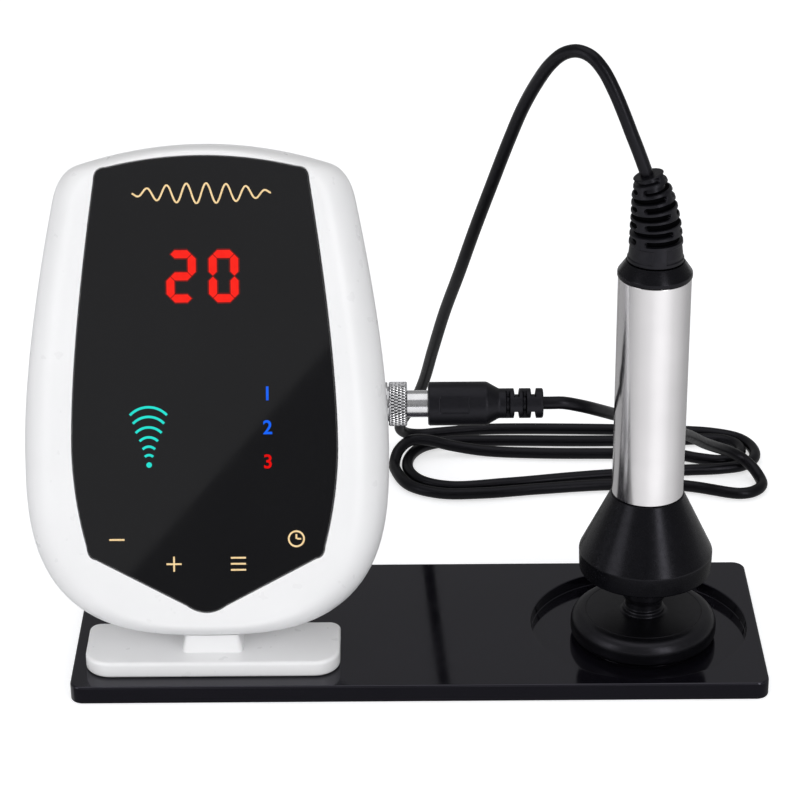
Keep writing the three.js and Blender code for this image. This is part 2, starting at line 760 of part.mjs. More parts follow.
// Casing, in two shells
function makeCasing() {
  const displayHole = between(
    [-displayWidth / 2 - seatGap, 0, displayHeight - displayTall / 2 - seatGap],
    [displayWidth / 2 + seatGap, ledgeBack + overrun, displayHeight + displayTall / 2 + seatGap],
  );
  const guideHoles = [guideLeftX, guideRightX].map((x) => between(
    [x - guideWindowWidth / 2 - seatGap, 0, guideHeight - guideWindowTall / 2 - seatGap],
    [x + guideWindowWidth / 2 + seatGap, ledgeBack + overrun, guideHeight + guideWindowTall / 2 + seatGap],
  ));
  const keyHoles = keyPlaces.map((x, i) => (
    rod(keyHoleRadius, 0, ledgeBack + overrun, x, keyHeights[i], roundSmall)
  ));
  // one rod of the same length at each of several places
  const rods = (radius, start, end, places) => (
    places.map(([x, z]) => rod(radius, start, end, x, z, roundSmall))
  );
  const shankHole = screwShank + seatGap;
  const frontBosses = rods(bossRadius, bossWallDepth, frontDepth, caseScrewPlaces);
  const posts = rods(postRadius, ledgeBack - ledgeThickness / 2, boardDepth - seatGap,
    [...boardScrewPlaces, [postX, postLow], [-postX, postHigh]]);
  const pilots = rods(shankHole, bossWallDepth + wall, frontDepth + overrun, caseScrewPlaces);
  const postPilots = rods(shankHole, ledgeBack, boardDepth + overrun, boardScrewPlaces);
  const spotFace = alongX(ring(collarRadius + seatGap, 0, socketCollarBack - seatGap, collarFace + overrun,
    roundMedium)).translate(0, socketDepth, socketHeight);
  const front = carve(frontForm(0, 0, 0), [], [frontForm(wall, ledgeBack, frontDepth + overrun)]);
  const recess = slab(panelShape(seatGap), -overrun, recessDepth);
  piece(consoleGroup, 'front_shell', carve(front, [...frontBosses, ...posts],
    [recess, displayHole, ...guideHoles, ...keyHoles, ...pilots, ...postPilots, spotFace]), whiteGloss);

  const rearBosses = rods(bossRadius, partingDepth, consoleDepth, caseScrewPlaces);
  const standBoss = rod(bossRadius, insertStart + insertDepth + seatGap, rearWallInside - wall, 0,
    standScrewHeight, roundSmall);
  const hull = solid(rearForm(0, partingDepth));
  const hollow = hull.subtract(solid(rearForm(wall, partingDepth - overrun)));
  const bosses = [...rearBosses, standBoss].map((boss) => solid(boss).intersect(hull));
  const bossed = bosses.reduce((body, boss) => body.add(boss), hollow);
  const pastBack = consoleDepth + overrun;
  const screwHoles = rods(shankHole, partingDepth - overrun, consoleDepth, caseScrewPlaces);
  const counterbores = rods(screwHead + seatGap, counterboreDepth, pastBack, caseScrewPlaces);
  const standHeadFloor = insertStart + insertDepth + seatGap + wall;
  const standHoles = [
    rod(shankHole, insertStart, consoleDepth, 0, standScrewHeight, roundSmall),
    rod(screwHead + seatGap, standHeadFloor, pastBack, 0, standScrewHeight, roundSmall),
  ];
  const slot = between(
    [-insertWidth / 2 - seatGap, insertStart - seatGap, insertBottom],
    [insertWidth / 2 + seatGap, insertStart + insertDepth + seatGap, insertTop / 2],
  );
  const cutStart = rearWallInside - overrun;
  const inletHole = rod(inletRadius + seatGap, cutStart, pastBack, inletX, inletHeight, roundMedium);
  const [halfWidth, halfTall] = [switchBodyWidth / 2 + seatGap, switchBodyTall / 2 + seatGap];
  const switchHole = between(
    [switchX - halfWidth, cutStart, switchHeight - halfTall],
    [switchX + halfWidth, pastBack, switchHeight + halfTall],
  );
  const vents = [];
  for (let i = 0; i < ventCount; i += 1) {
    const z = ventHeight + (i - (ventCount - 1) / 2) * ventPitch;
    vents.push(block(ventWidth, 2 * wall + 2 * overrun, ventTall, 0, consoleDepth, z));
  }
  const atSocket = (radius, start, end) => (
    alongX(ring(radius, 0, start, end, roundMedium)).translate(0, socketDepth, socketHeight)
  );
  const nutSeatFace = socketCollarBack - shellSideWall;
  const socketHole = atSocket(bushingRadius + seatGap, nutSeatFace - shellSideWall, collarFace);
  const nutSeat = atSocket(nutRadius + seatGap, nutSeatFace - nutThickness - overrun, nutSeatFace);
  const cutters = [...screwHoles, ...counterbores, ...standHoles, slot, inletHole, switchHole, ...vents,
    socketHole, spotFace, nutSeat];
  const rear = cutters.reduce((body, tool) => body.subtract(solid(tool)), bossed);
  piece(consoleGroup, 'rear_shell', geometryOf(rear), whiteGloss);

  caseScrewPlaces.forEach(([x, z], i) => {
    const headPlace = counterboreDepth + seatGap + screwHeadTall;
    piece(consoleGroup, `case_screw_${i + 1}`, screw(x, z, headPlace, caseScrewLength + seatGap), nickel);
  });
  piece(consoleGroup, 'stand_screw',
    screw(0, standScrewHeight, standHeadFloor + seatGap + screwHeadTall, standScrewLength), nickel);
}

// Window, display, lights and keys
function makeFront() {
  piece(consoleGroup, 'touch_panel', slab(panelShape(0), 0, panelThickness), panelGlass);
  const displayMiddle = displayBack - displayDepth / 2;
  const display = block(displayWidth, displayDepth, displayTall, 0, displayMiddle, displayHeight);
  piece(consoleGroup, 'led_display', display, displayRed);
  const guideFront = recessDepth + seatGap;
  const guideBack = displayBack;
  const plate = between(
    [guideLeftX - guideWindowWidth / 2, ledgeBack + seatGap, guideHeight - guideTall / 2],
    [guideRightX + guideWindowWidth / 2, ledgeBack + seatGap + guidePlate, guideHeight + guideTall / 2],
  );
  const towers = [guideLeftX, guideRightX].map((x) => between(
    [x - guideWindowWidth / 2, guideFront, guideHeight - guideWindowTall / 2],
    [x + guideWindowWidth / 2, guideBack, guideHeight + guideWindowTall / 2],
  ));
  piece(consoleGroup, 'light_guide', carve(plate, towers, []), clearGuide);
  keyPlaces.forEach((x, i) => {
    const sleeve = ring(springRadius, springRadius - springWall, recessDepth, displayBack, roundSmall);
    piece(consoleGroup, `touch_spring_${i + 1}`, alongY(sleeve).translate(x, 0, keyHeights[i]), nickel);
  });
}

// Control board and the parts on its back
function makeBoard() {
  const board = between([-boardWidth / 2, boardDepth, boardBottom], [boardWidth / 2, boardBack, boardTop]);
  const holes = boardScrewPlaces.map(([x, z]) => (
    rod(screwShank + seatGap, boardDepth - overrun, boardBack + overrun, x, z, roundSmall)
  ));
  piece(consoleGroup, 'control_board', carve(board, [], holes), boardGreen);
  boardScrewPlaces.forEach(([x, z], i) => {
    const headPlace = boardBack + seatGap + screwHeadTall;
    piece(consoleGroup, `board_screw_${i + 1}`, screw(x, z, headPlace, boardScrewLength), nickel);
  });
  const seat = boardBack + seatGap;
  const buzzerBack = seat + buzzerTall;
  const can = rod(buzzerRadius, seat, buzzerBack, buzzerX, buzzerHeight, roundMedium);
  const portFloor = seat + buzzerTall / 2;
  const port = rod(buzzerPort, portFloor, buzzerBack + overrun, buzzerX, buzzerHeight, roundSmall);
  piece(consoleGroup, 'buzzer', carve(can, [], [port]), blackSatin);
  const core = block(coreWidth, coreDepth, coreTall, 0, seat + coreDepth / 2, coreHeight);
  const windingHalf = coreTall / 2 + windingProud;
  const winding = ring(windingRadius, 0, -windingHalf, windingHalf, roundMedium)
    .scale(1, coreDepth / (2 * windingRadius), 1).translate(0, seat + coreDepth / 2, coreHeight);
  piece(consoleGroup, 'rf_transformer', carve(core, [winding], []), ferrite);
  piece(consoleGroup, 'filter_capacitor',
    rod(capacitorRadius, seat, seat + capacitorTall, capacitorX, capacitorHeight, roundMedium), blackSatin);
  const sinkPlate = between(
    [sinkX - sinkWidth / 2, seat, sinkHeight - sinkTall / 2],
    [sinkX + sinkWidth / 2, seat + sinkBase, sinkHeight + sinkTall / 2],
  );
  const fins = [];
  for (let i = 0; i < finCount; i += 1) {
    const x = sinkX - sinkWidth / 2 + finThickness / 2 + (i / (finCount - 1)) * (sinkWidth - finThickness);
    fins.push(between(
      [x - finThickness / 2, seat, sinkHeight - sinkTall / 2],
      [x + finThickness / 2, seat + sinkDepth, sinkHeight + sinkTall / 2],
    ));
  }
  piece(consoleGroup, 'heat_sink', carve(sinkPlate, fins, []), aluminium);
}

// Power inlet and rocker switch
function makeBack() {
  const mouth = consoleDepth + seatGap + inletFlange;
  const flangeSeat = consoleDepth + seatGap;
  const inlet = turned([
    [0, mouth - inletPinShort],
    [inletPinRadius, mouth - inletPinShort],
    [inletPinRadius, mouth - inletBoreDeep],
    [inletBoreRadius, mouth - inletBoreDeep],
    [inletBoreRadius, mouth],
    [inletFlangeRadius, mouth],
    [inletFlangeRadius, flangeSeat],
    [inletRadius, flangeSeat],
    [inletRadius, flangeSeat - inletLong],
    [0, flangeSeat - inletLong],
  ], roundMedium);
  piece(consoleGroup, 'power_inlet', alongY(inlet).translate(inletX, 0, inletHeight), blackSatin);

  const seat = consoleDepth + seatGap;
  const atSwitch = (width, tall, start, end) => between(
    [switchX - width / 2, start, switchHeight - tall / 2],
    [switchX + width / 2, end, switchHeight + tall / 2],
  );
  const bezel = atSwitch(switchWidth, switchTall, seat, seat + switchBezel);
  const body = atSwitch(switchBodyWidth, switchBodyTall, seat - switchBodyDeep, seat + switchBezel);
  const blades = [-1, 1].map((side) => block(bladeWidth, 2 * bladeLong, bladeThickness, switchX,
    seat - switchBodyDeep, switchHeight + side * bladeSpread / 2));
  const wellWidth = rockerWidth + 2 * runningGap;
  const well = atSwitch(wellWidth, switchWellTall, seat - switchWellDeep, seat + switchBezel + overrun);
  const pivotDepth = seat + rockerPivot;
  const pinHalf = rockerWidth / 2 + rockerPinLong;
  const holeHalf = pinHalf + seatGap;
  const pinHole = alongX(ring(rockerPinRadius + runningGap, 0, -holeHalf, holeHalf, roundSmall))
    .translate(switchX, pivotDepth, switchHeight);
  piece(consoleGroup, 'switch_frame', carve(body, [bezel, ...blades], [well, pinHole]), blackSatin);

  const profile = new THREE.Shape([
    [-rockerHalfTall, rockerEndRise], [0, rockerMidRise], [rockerHalfTall, rockerEndRise],
    [rockerHalfTall, rockerShoulder], [rockerBellyHalf, rockerBelly], [-rockerBellyHalf, rockerBelly],
    [-rockerHalfTall, rockerShoulder],
  ].map(([up, out]) => new THREE.Vector2(out - rockerPivot, up)));
  const key = new THREE.ExtrudeGeometry(profile, { depth: rockerWidth, bevelEnabled: false })
    .translate(0, 0, -rockerWidth / 2);
  // profile x is the way out of the console and profile y is up; the extrusion lies across
  const turn = new THREE.Matrix4().makeBasis(
    new THREE.Vector3(0, 1, 0), new THREE.Vector3(0, 0, 1), new THREE.Vector3(1, 0, 0),
  );
  const pin = alongX(ring(rockerPinRadius, 0, -pinHalf, pinHalf, roundSmall));
  const rocker = piece(consoleGroup, 'power_rocker', carve(key.applyMatrix4(turn), [pin], []), blackSatin);
  rocker.position.set(switchX, pivotDepth, switchHeight);
  rocker.rotation.x = -rockerTilt;
}

// Socket in the console's side and the plug in it, with the axis along x
function makeConnector() {
  const facets = roundMedium;
  const socket = turned([
    [0, socketBack], [bushingRadius, socketBack], [bushingRadius, socketCollarBack],
    [collarRadius, socketCollarBack], [collarRadius, collarFace], [bushingRadius, collarFace],
    [bushingRadius, bushingEnd], [socketBore, bushingEnd], [socketBore, socketBack + socketFloor],
    [0, socketBack + socketFloor],
  ], facets);
  piece(socketGroup, 'handset_socket', alongX(socket), nickel);
  const nutFace = socketCollarBack - shellSideWall - seatGap;
  const nut = alongX(ring(nutRadius, 0, nutFace - nutThickness, nutFace, nutSides));
  const nutBore = alongX(ring(bushingRadius + seatGap, 0, socketBack, collarFace, facets));
  piece(socketGroup, 'socket_nut', carve(nut, [], [nutBore]), nickel);

  const pinAngles = Array.from({ length: pinCount }, (_, i) => (i / pinCount) * 2 * Math.PI);
  const onCircle = (geometry, angle) => (
    geometry.translate(0, pinCircle * Math.cos(angle), pinCircle * Math.sin(angle))
  );
  const contactBase = socketBack + socketFloor + seatGap;
  const contactStep = shellFront - seatGap;
  const contacts = alongX(turned([
    [0, contactBase], [socketBore - seatGap, contactBase], [socketBore - seatGap, contactStep],
    [contactRadius, contactStep], [contactRadius, contactFront], [0, contactFront],
  ], roundSmall));
  const pinHoles = pinAngles.map((angle) => onCircle(
    alongX(ring(pinHoleRadius, 0, contactFront - pinHoleDepth, contactFront + overrun, roundSmall)), angle));
  piece(socketGroup, 'socket_insert', carve(contacts, [], pinHoles), blackSatin);

  const shell = turned([
    [shellRadius - shellWall, shellFront], [shellRadius, shellFront], [shellRadius, shellStopFront],
    [shellStopRadius, shellStopFront], [shellStopRadius, shellStopFront + shellStopLong],
    [shellRadius, shellStopFront + shellStopLong], [shellRadius, shellBack],
    [shellRadius - shellWall, shellBack], [shellRadius - shellWall, shellFront],
  ], facets);
  piece(socketGroup, 'plug_shell', alongX(shell), nickel);
  const insertRadius = shellRadius - shellWall - seatGap;
  const plugInsertBack = plugInsertFront + plugInsertLong;
  const insert = alongX(ring(insertRadius, 0, plugInsertFront, plugInsertBack, facets));
  const [seatStart, seatEnd] = [plugInsertFront - overrun, plugInsertBack + overrun];
  const seats = pinAngles.map((angle) => (
    onCircle(alongX(ring(pinRadius + seatGap, 0, seatStart, seatEnd, roundSmall)), angle)
  ));
  piece(socketGroup, 'plug_insert', carve(insert, [], seats), blackSatin);
  pinAngles.forEach((angle, i) => {
    const pin = onCircle(alongX(ring(pinRadius, 0, pinFront, plugInsertBack, roundSmall)), angle);
    piece(socketGroup, `plug_pin_${i + 1}`, pin, brass);
  });

  const ringInside = bushingRadius + runningGap;
  const lipInside = shellRadius + seatGap;
  const grooves = [];
  const grooveStep = (ringBack - ringFront) / (ringGrooves * 2 + 1);
  for (let i = 0; i < ringGrooves; i += 1) {
    const start = ringFront + grooveStep * (2 * i + 1);
    grooves.push([ringRadius, start], [ringRadius - ringGrooveDepth, start],
      [ringRadius - ringGrooveDepth, start + grooveStep], [ringRadius, start + grooveStep]);
  }
  const knurled = turned([
    [ringInside, ringFront], [ringRadius, ringFront], ...grooves, [ringRadius, ringBack],
    [lipInside, ringBack], [lipInside, ringBack - ringLip], [ringInside, ringBack - ringLip],
    [ringInside, ringFront],
  ], facets);
  piece(socketGroup, 'coupling_ring', alongX(knurled), nickel);

  const taperEnd = plugFront + plugLong + plugTaperLong;
  const ribStep = (plugTailEnd - taperEnd) / plugRibs;
  const ribs = [];
  for (let i = 0; i < plugRibs; i += 1) {
    const end = taperEnd + ribStep * (i + 1);
    ribs.push([plugTailRadius, end - ribStep + plugRibGap], [plugTailRadius, end]);
    if (i + 1 < plugRibs) ribs.push([plugCoreRadius, end], [plugCoreRadius, end + plugRibGap]);
  }
  const bore = shellRadius + seatGap;
  const moulding = turned([
    [bore, plugFront], [plugRadius - plugEdge, plugFront], [plugRadius, plugFront + plugEdge],
    [plugRadius, plugFront + plugLong], [plugTailRadius, taperEnd], ...ribs,
    [0, plugTailEnd], [0, shellBack + seatGap], [bore, shellBack + seatGap], [bore, plugFront],
  ], facets);
  piece(socketGroup, 'plug_overmould', alongX(moulding), blackRubber);
}

// Bends a piece over towards -x above bottom, by the square of its height
function leaned(geometry, bottom, top, amount) {
  const places = geometry.attributes.position;
  for (let i = 0; i < places.count; i += 1) {
    const share = Math.max(0, (places.getZ(i) - bottom) / (top - bottom));
    const slope = (2 * amount * share) / (top - bottom);
    const x = places.getX(i);
    places.setXYZ(i, x - amount * share * share, places.getY(i), places.getZ(i) + x * slope);
  }
  return geometry;
}

// A slot round part of the boot
function bootSlot(start, bottom, outer, inner) {
  const shape = new THREE.Shape();
  shape.absarc(0, 0, outer, start, start + bootSlotAngle, false);
  shape.absarc(0, 0, inner, start + bootSlotAngle, start, true);
  return new THREE.ExtrudeGeometry(shape, {
    depth: bootSlotTall,
    bevelEnabled: false,
    curveSegments: bootSlotSteps,
  }).translate(0, 0, bottom);
}

function makeHandle() {
  const tube = ring(tubeRadius, tubeInside, tubeBottom, tubeTop, roundFine);
  piece(handsetGroup, 'handle_tube', tube, polishedSteel);
  const capSeat = tubeTop + seatGap;
  const spigotRadius = tubeInside - seatGap;
  const spigotBottom = capSeat - spigotLong;
  const stemBore = stemRadius + seatGap;
  piece(handsetGroup, 'handle_collar', turned([
    [stemBore, spigotBottom], [spigotRadius, spigotBottom], [spigotRadius, capSeat],
    [capRadius, capSeat], [capRadius, capSeat + capBand], [capTopRadius, capTop], [stemBore, capTop],
    [stemBore, spigotBottom],
  ], roundFine), blackSatin);

  const stemBottom = bootBottom - stemLong;
  const bootTop = bootBottom + bootTall;
  const bootOutline = bootOutlineShares.map(([up, out]) => [bootRadius * out, bootBottom + bootTall * up]);
  const boot = turned([
    [0, stemBottom], [stemRadius, stemBottom], [stemRadius, bootBottom], ...bootOutline, [0, bootTop],
  ], roundMedium);
  const slots = [];
  for (let row = 0; row < bootSlotRows; row += 1) {
    const bottom = bootBottom + bootBand + row * bootSlotPitch;
    const above = bootOutline.findIndex(([, height]) => height > bottom);
    const [[low, lowHeight], [high, highHeight]] = [bootOutline[above - 1], bootOutline[above]];
    const surface = low + ((high - low) * (bottom - lowHeight)) / (highHeight - lowHeight);
    for (const half of [0, Math.PI]) {
      const start = bootSlotStart + half + (row % 2) * bootSlotTurn;
      slots.push(bootSlot(start, bottom, bootRadius + overrun, surface - bootSlotDepth));
    }
  }
  const bent = leaned(carve(boot, [], slots), bootBottom, bootTop, bootLean);
  piece(handsetGroup, 'strain_relief', bent, blackRubber);

  piece(handsetGroup, 'head_cone', turned([
    [coneSocketRadius, coneBottom], [coneBandRadius, coneBottom], [coneWideRadius, coneWideHeight],
    [coneTopRadius, coneTop], [spigotRadius, coneTop], [spigotRadius, coneSpigotTop],
    [coneBoreRadius, coneSpigotTop], [coneBoreRadius, coneSocketTop], [coneSocketRadius, coneSocketTop],
    [coneSocketRadius, coneBottom],
  ], roundFine), blackSatin);

  const brassRadius = coneBoreRadius - seatGap;
  const brassBottom = coneSocketTop + seatGap;
  piece(handsetGroup, 'head_socket',
    ring(brassRadius, brassRadius - brassWall, brassBottom, brassBottom + brassLong, roundMedium), brass);
  const springBottom = studTop + seatGap;
  const springTop = springBottom + contactSpringLong;
  const springInside = contactSpringRadius - contactSpringWall;
  piece(handsetGroup, 'contact_spring',
    ring(contactSpringRadius, springInside, springBottom, springTop, roundSmall), nickel);
  const plateBottom = springTop + seatGap;
  const plateTop = plateBottom + contactPlateThick;
  piece(handsetGroup, 'contact_plate', ring(brassRadius, 0, plateBottom, plateTop, roundMedium), brass);
  piece(handsetGroup, 'inner_holder', ring(spigotRadius, leadRadius + seatGap, coneSpigotTop + seatGap,
    spigotBottom - seatGap, roundMedium), whiteGloss);
  piece(handsetGroup, 'inner_lead',
    ring(leadRadius, 0, plateTop + seatGap, stemBottom - seatGap, roundSmall), blackRubber);
}

function makeHead() {
  piece(handsetGroup, 'electrode_face',
    ring(headFaceRadius, 0, headBottom, headBottom + headFaceThick, roundFine), polishedSteel);
  const studBore = studRadius + seatGap;
  const floor = headBottom + headFaceThick + seatGap;
  piece(handsetGroup, 'electrode_cap', turned([
    [0, floor], [headFaceRadius + seatGap, floor], [headFaceRadius + seatGap, headRimBottom],
    [headRimBandRadius, headRimBottom], [headRimRadius, headRimMiddle - headRimBand / 2],
    [headRimRadius, headRimMiddle + headRimBand / 2], [headRimBandRadius, headRimTop],
    [headRimInner, headRimTop], [headFlareRadius, headFlareHeight], [neckRadius, neckBottom],
    [neckRadius, neckTop],
    [hubRadius, hubBottom], [hubRadius, hubTop], [studBore, hubTop], [studBore, studBottom - seatGap],
    [0, studBottom - seatGap],
  ], roundFine), blackSatin);
  piece(handsetGroup, 'head_stud', ring(studRadius, 0, studBottom, studTop, roundMedium), nickel);
  const seal = new THREE.TorusGeometry(sealRadius, sealThick, sealSides, roundSmall)
    .translate(0, 0, hubTop + seatGap + sealThick);
  piece(handsetGroup, 'head_seal', seal, blackRubber);
}

// The cable's route, in three stretches, as points chosen along it. The first runs from the plug
// down to the floor behind the tray, the second lies there in loops, and the third rises in an
// arch to the handset.
const plugRun = [
  [43.8, 7.23, 89.8], [46.2, 7.23, 89.8], [50.5, 7.4, 89.7], [57, 10, 87.2], [64, 17, 82],
  [72, 29, 74], [81, 44, 64.5], [90, 61, 53.5], [98, 79, 42.5], [105.5, 97, 31.5],
  [112.5, 112, 21.5], [118.6, 121.6, 14.9],
  [124.3, 127, 11.2], [129.8, 127.8, 8.4], [134.4, 125.5, 5.7], [136.7, 121.8, 3.5],
  [137.2, 118.9, 2.5], [137.2, 116.7, 2.4],
];
const loopRun = [
  [137.2, 116.4, 2.4], [137.2, 114.2, 2.4], [136.2, 110.1, 2.4], [133.1, 106.7, 2.4],
  [128.7, 105.2, 2.4], [124.3, 105.9, 2.4], [118, 108.2, 2.4],
  [100, 112.4, 2.4], [74, 112.8, 2.4], [48, 110.4, 2.4], [26, 107.2, 2.4], [9.5, 107.4, 2.4],
  [-2.5, 114.2, 2.4], [-7.8, 127, 2.4], [-8.4, 138, 3], [-4.6, 146.4, 6.4], [3.5, 149.2, 7.5],
  [14, 146.8, 7.5], [28, 143.4, 3.6], [50, 141.4, 2.4], [80, 140.6, 2.4], [103, 139.8, 2.4],
  [113.5, 135.8, 2.4], [121.2, 134, 2.4], [127.2, 136.2, 2.4], [130.4, 141.7, 2.4], [129.3, 148, 2.4],
  [124.4, 152.1, 2.4], [117, 153, 2.4], [104, 152.4, 2.4], [70, 152, 2.4], [30, 153, 2.4], [13, 152.4, 2.4],
  [3, 147.6, 2.4], [-2.2, 138, 2.4], [-1.6, 127.5, 2.4], [4.5, 119.8, 2.4], [15, 116.4, 2.4],
  [36, 118.8, 2.4], [66, 122.6, 2.4], [104, 124.4, 2.4], [121, 126.2, 2.4], [131, 129, 2.4],
  [136.8, 136.2, 2.4], [137.1, 145, 2.4], [132.3, 153.8, 2.4], [120.5, 159, 2.4], [97, 161.2, 2.4],
  [60, 163.2, 2.4], [34, 164.4, 2.4], [24.6, 164.3, 2.4], [19.9, 163.7, 2.4],
  [17.6, 163.4, 2.4],
];
const archRun = [
  [17.3, 163.36, 2.4], [15, 163.06, 2.4], [12.5, 162.7, 2.5], [4.5, 161, 3.2], [-2.6, 157.6, 6.6],
  [-5.3, 151, 13.6], [-3.4, 143.4, 23], [1.8, 129, 40], [7.9, 110, 63], [12.4, 90, 88],
  [16.8, 72, 111], [21.2, 56.5, 135],
  [25.9, 43.5, 157.5], [30.4, 33.5, 177], [34.6, 26, 191.5], [38.8, 20, 202.2], [43.1, 15, 210.6],
  [47.5, 11, 215.6], [51.9, 7.5, 218], [56.2, 4.5, 217], [60.3, 2.2, 213.2], [64.7, 0.4, 206.2],
  [68.4, -0.7, 197.9], [71.6, -1.2, 191.7], [74.7, -1.3, 186.9], [76.6, -1.3, 183.35], [77, -1.3, 181.1],
  [77.35, -1.3, 178.9],
];

const runs = [plugRun, loopRun, archRun];

// A smooth curve whose steps follow the chosen points and not equal lengths
class CableRoute extends THREE.CatmullRomCurve3 {
  getPointAt(share, target) {
    return this.getPoint(share, target);
  }

  getTangentAt(share, target) {
    return this.getTangent(share, target);
  }
}

function routeOf(points) {
  return new CableRoute(points.map((point) => new THREE.Vector3(...point)));
}

function cable(points, sides, stepsEach) {
  const section = new THREE.Shape();
  section.absarc(0, 0, cableRadius, 0, 2 * Math.PI);
  return new THREE.ExtrudeGeometry(section, {
    extrudePath: routeOf(points),
    steps: (points.length - 1) * stepsEach,
    curveSegments: sides / 2,
  });
}

// The least gap between the cable's surfaces where two parts of it lie near each other
function leastCableGap() {
  const fine = runs.flatMap((points) => routeOf(points).getPoints(points.length * gapSamples));
  const along = [0];
  for (let i = 1; i < fine.length; i += 1) along.push(along[i - 1] + fine[i].distanceTo(fine[i - 1]));
  const apart = 8 * cableRadius;
  let least = Infinity;
  for (let i = 0; i < fine.length; i += 1) {
    for (let j = i + 1; j < fine.length; j += 1) {
      if (along[j] - along[i] > apart) least = Math.min(least, fine[i].distanceTo(fine[j]));
    }
  }
  return least - 2 * cableRadius;
}

function makeCable() {
  piece(machine, 'cord_plug_run', cable(plugRun, cableSides, 2), blackRubber);
  piece(machine, 'cord_loops', cable(loopRun, loopSides, 1), blackRubber);
  piece(machine, 'cord_arch', cable(archRun, cableSides, 2), blackRubber);
  const length = runs.reduce((sum, points) => sum + routeOf(points).getLength(), 0);
  console.log(`cable length ${length.toFixed(0)} mm, least gap to itself ${leastCableGap().toFixed(2)} mm`);
}

makeTray();
makeFoot();
makeCasing();
makeFront();
makeBoard();
makeBack();
makeConnector();
makeHandle();
makeHead();
makeCable();

export default machine;
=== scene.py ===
"""Monopolar radio frequency machine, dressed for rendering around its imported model.

Lengths are millimetres until a mesh is placed, and metres from there on. +X runs from the console
to the handset, +Y away from the viewer and +Z up, from the middle of the tray's underside.
"""

import json
import logging
import math
from collections.abc import Callable, Sequence
from dataclasses import dataclass
from enum import Enum

import bmesh
import bpy
from mathutils import Matrix, Vector


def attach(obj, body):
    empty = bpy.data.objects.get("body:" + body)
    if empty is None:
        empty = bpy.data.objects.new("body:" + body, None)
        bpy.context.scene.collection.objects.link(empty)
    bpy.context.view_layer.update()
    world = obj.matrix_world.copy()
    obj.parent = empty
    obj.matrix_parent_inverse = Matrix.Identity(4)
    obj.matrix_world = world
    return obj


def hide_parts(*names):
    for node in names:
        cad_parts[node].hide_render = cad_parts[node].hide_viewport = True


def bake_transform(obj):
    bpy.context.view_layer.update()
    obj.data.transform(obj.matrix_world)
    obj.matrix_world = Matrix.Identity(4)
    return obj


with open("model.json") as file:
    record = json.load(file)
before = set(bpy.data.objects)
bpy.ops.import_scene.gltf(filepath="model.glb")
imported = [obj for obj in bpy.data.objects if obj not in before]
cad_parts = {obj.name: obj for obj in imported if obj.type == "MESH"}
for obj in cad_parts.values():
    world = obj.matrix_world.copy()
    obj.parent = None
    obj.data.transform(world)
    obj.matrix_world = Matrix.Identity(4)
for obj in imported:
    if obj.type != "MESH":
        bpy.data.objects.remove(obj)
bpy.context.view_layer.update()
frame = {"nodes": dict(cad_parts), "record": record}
log = logging.getLogger("rf_machine")

MM = 0.001
TINY = 1e-6
SEAT_GAP = 0.3  # between pieces that touch
LEVEL_RING = 0.06  # narrow flat ring beside an eased edge, so that the face it bounds shades flat
PARTING = 0.25  # eased edge along the line where two mouldings meet
EDGE_STEPS = 6  # faces round an eased edge
OVERCUT = 1.0  # how far a cutting form sticks out of what it cuts
NOISE_SPREAD = (0.3, 0.7)  # the noise's values that count as its lowest and highest
WHITE = (1.0, 1.0, 1.0, 1.0)

Flat = tuple[float, float]
Place = tuple[float, float, float]
Corner = tuple[float, float, float]  # two coordinates and the radius that rounds them
Run = tuple[tuple[float, ...], ...]  # places; those without a height lie on the floor
Mesh = bmesh.types.BMesh
Tree = bpy.types.NodeTree
Socket = bpy.types.NodeSocket


class Body(Enum):
    """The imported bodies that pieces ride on."""

    TRAY = "tray"
    CONSOLE = "console"
    ROCKER = "rocker"
    PLUG = "plug"
    RING = "ring"
    HANDLE = "handle"
    HEAD = "head"


class Slot(Enum):
    """The record's material slots."""

    WHITE = "white_plastic"
    TRAY = "tray_plastic"
    PANEL = "panel_plastic"
    BLACK = "black_plastic"
    RUBBER = "black_rubber"
    PAD = "pad_rubber"
    STEEL = "tube_steel"
    NICKEL = "nickel_plate"
    BRASS = "contact_brass"
    ALUMINIUM = "sink_aluminium"
    LAMINATE = "board_laminate"
    FERRITE = "ferrite_core"
    DISPLAY = "display_plastic"
    GUIDE = "guide_plastic"


class Operation(Enum):
    """How one closed mesh works on another."""

    JOIN = "UNION"
    CUT = "DIFFERENCE"
    KEEP_SHARED = "INTERSECT"


# Finishes


def linear(hex_colour: str) -> tuple[float, float, float, float]:
    """Turns an sRGB hex colour to the linear colour that shaders take, by the standard's curve.

    Args:
        hex_colour: The colour, such as "#1a2b3c".

    Returns:
        Linear red, green, blue and an alpha of one.
    """
    shares = (byte / 255 for byte in bytes.fromhex(hex_colour[1:]))
    red, green, blue = (s / 12.92 if s <= 0.04045 else ((s + 0.055) / 1.055) ** 2.4 for s in shares)
    return (red, green, blue, 1.0)


def add_node(
    tree: Tree,
    kind: str,
    settings: dict[str | int, object] | None = None,
    links: dict[str | int, Socket] | None = None,
) -> bpy.types.Node:
    """Adds a node with its settings and links.

    Args:
        tree: The node tree that gets the node.
        kind: The node's type, as Blender names it after "ShaderNode".
        settings: Values by input name or number, or by property name; a colour ramp's places and
            colours by "stops".
        links: Sources by input name or number.

    Returns:
        The new node.
    """
    node = tree.nodes.new("ShaderNode" + kind)
    for name, value in (settings or {}).items():
        if name == "stops":
            known = node.color_ramp.elements
            for number, (place, colour) in enumerate(value):
                stop = known[number] if number < 2 else known.new(place)
                stop.position, stop.color = place, colour
        elif isinstance(name, int) or name in node.inputs:
            node.inputs[name].default_value = value
        else:
            setattr(node, name, value)
    for name, source in (links or {}).items():
        tree.links.new(source, node.inputs[name])
    return node


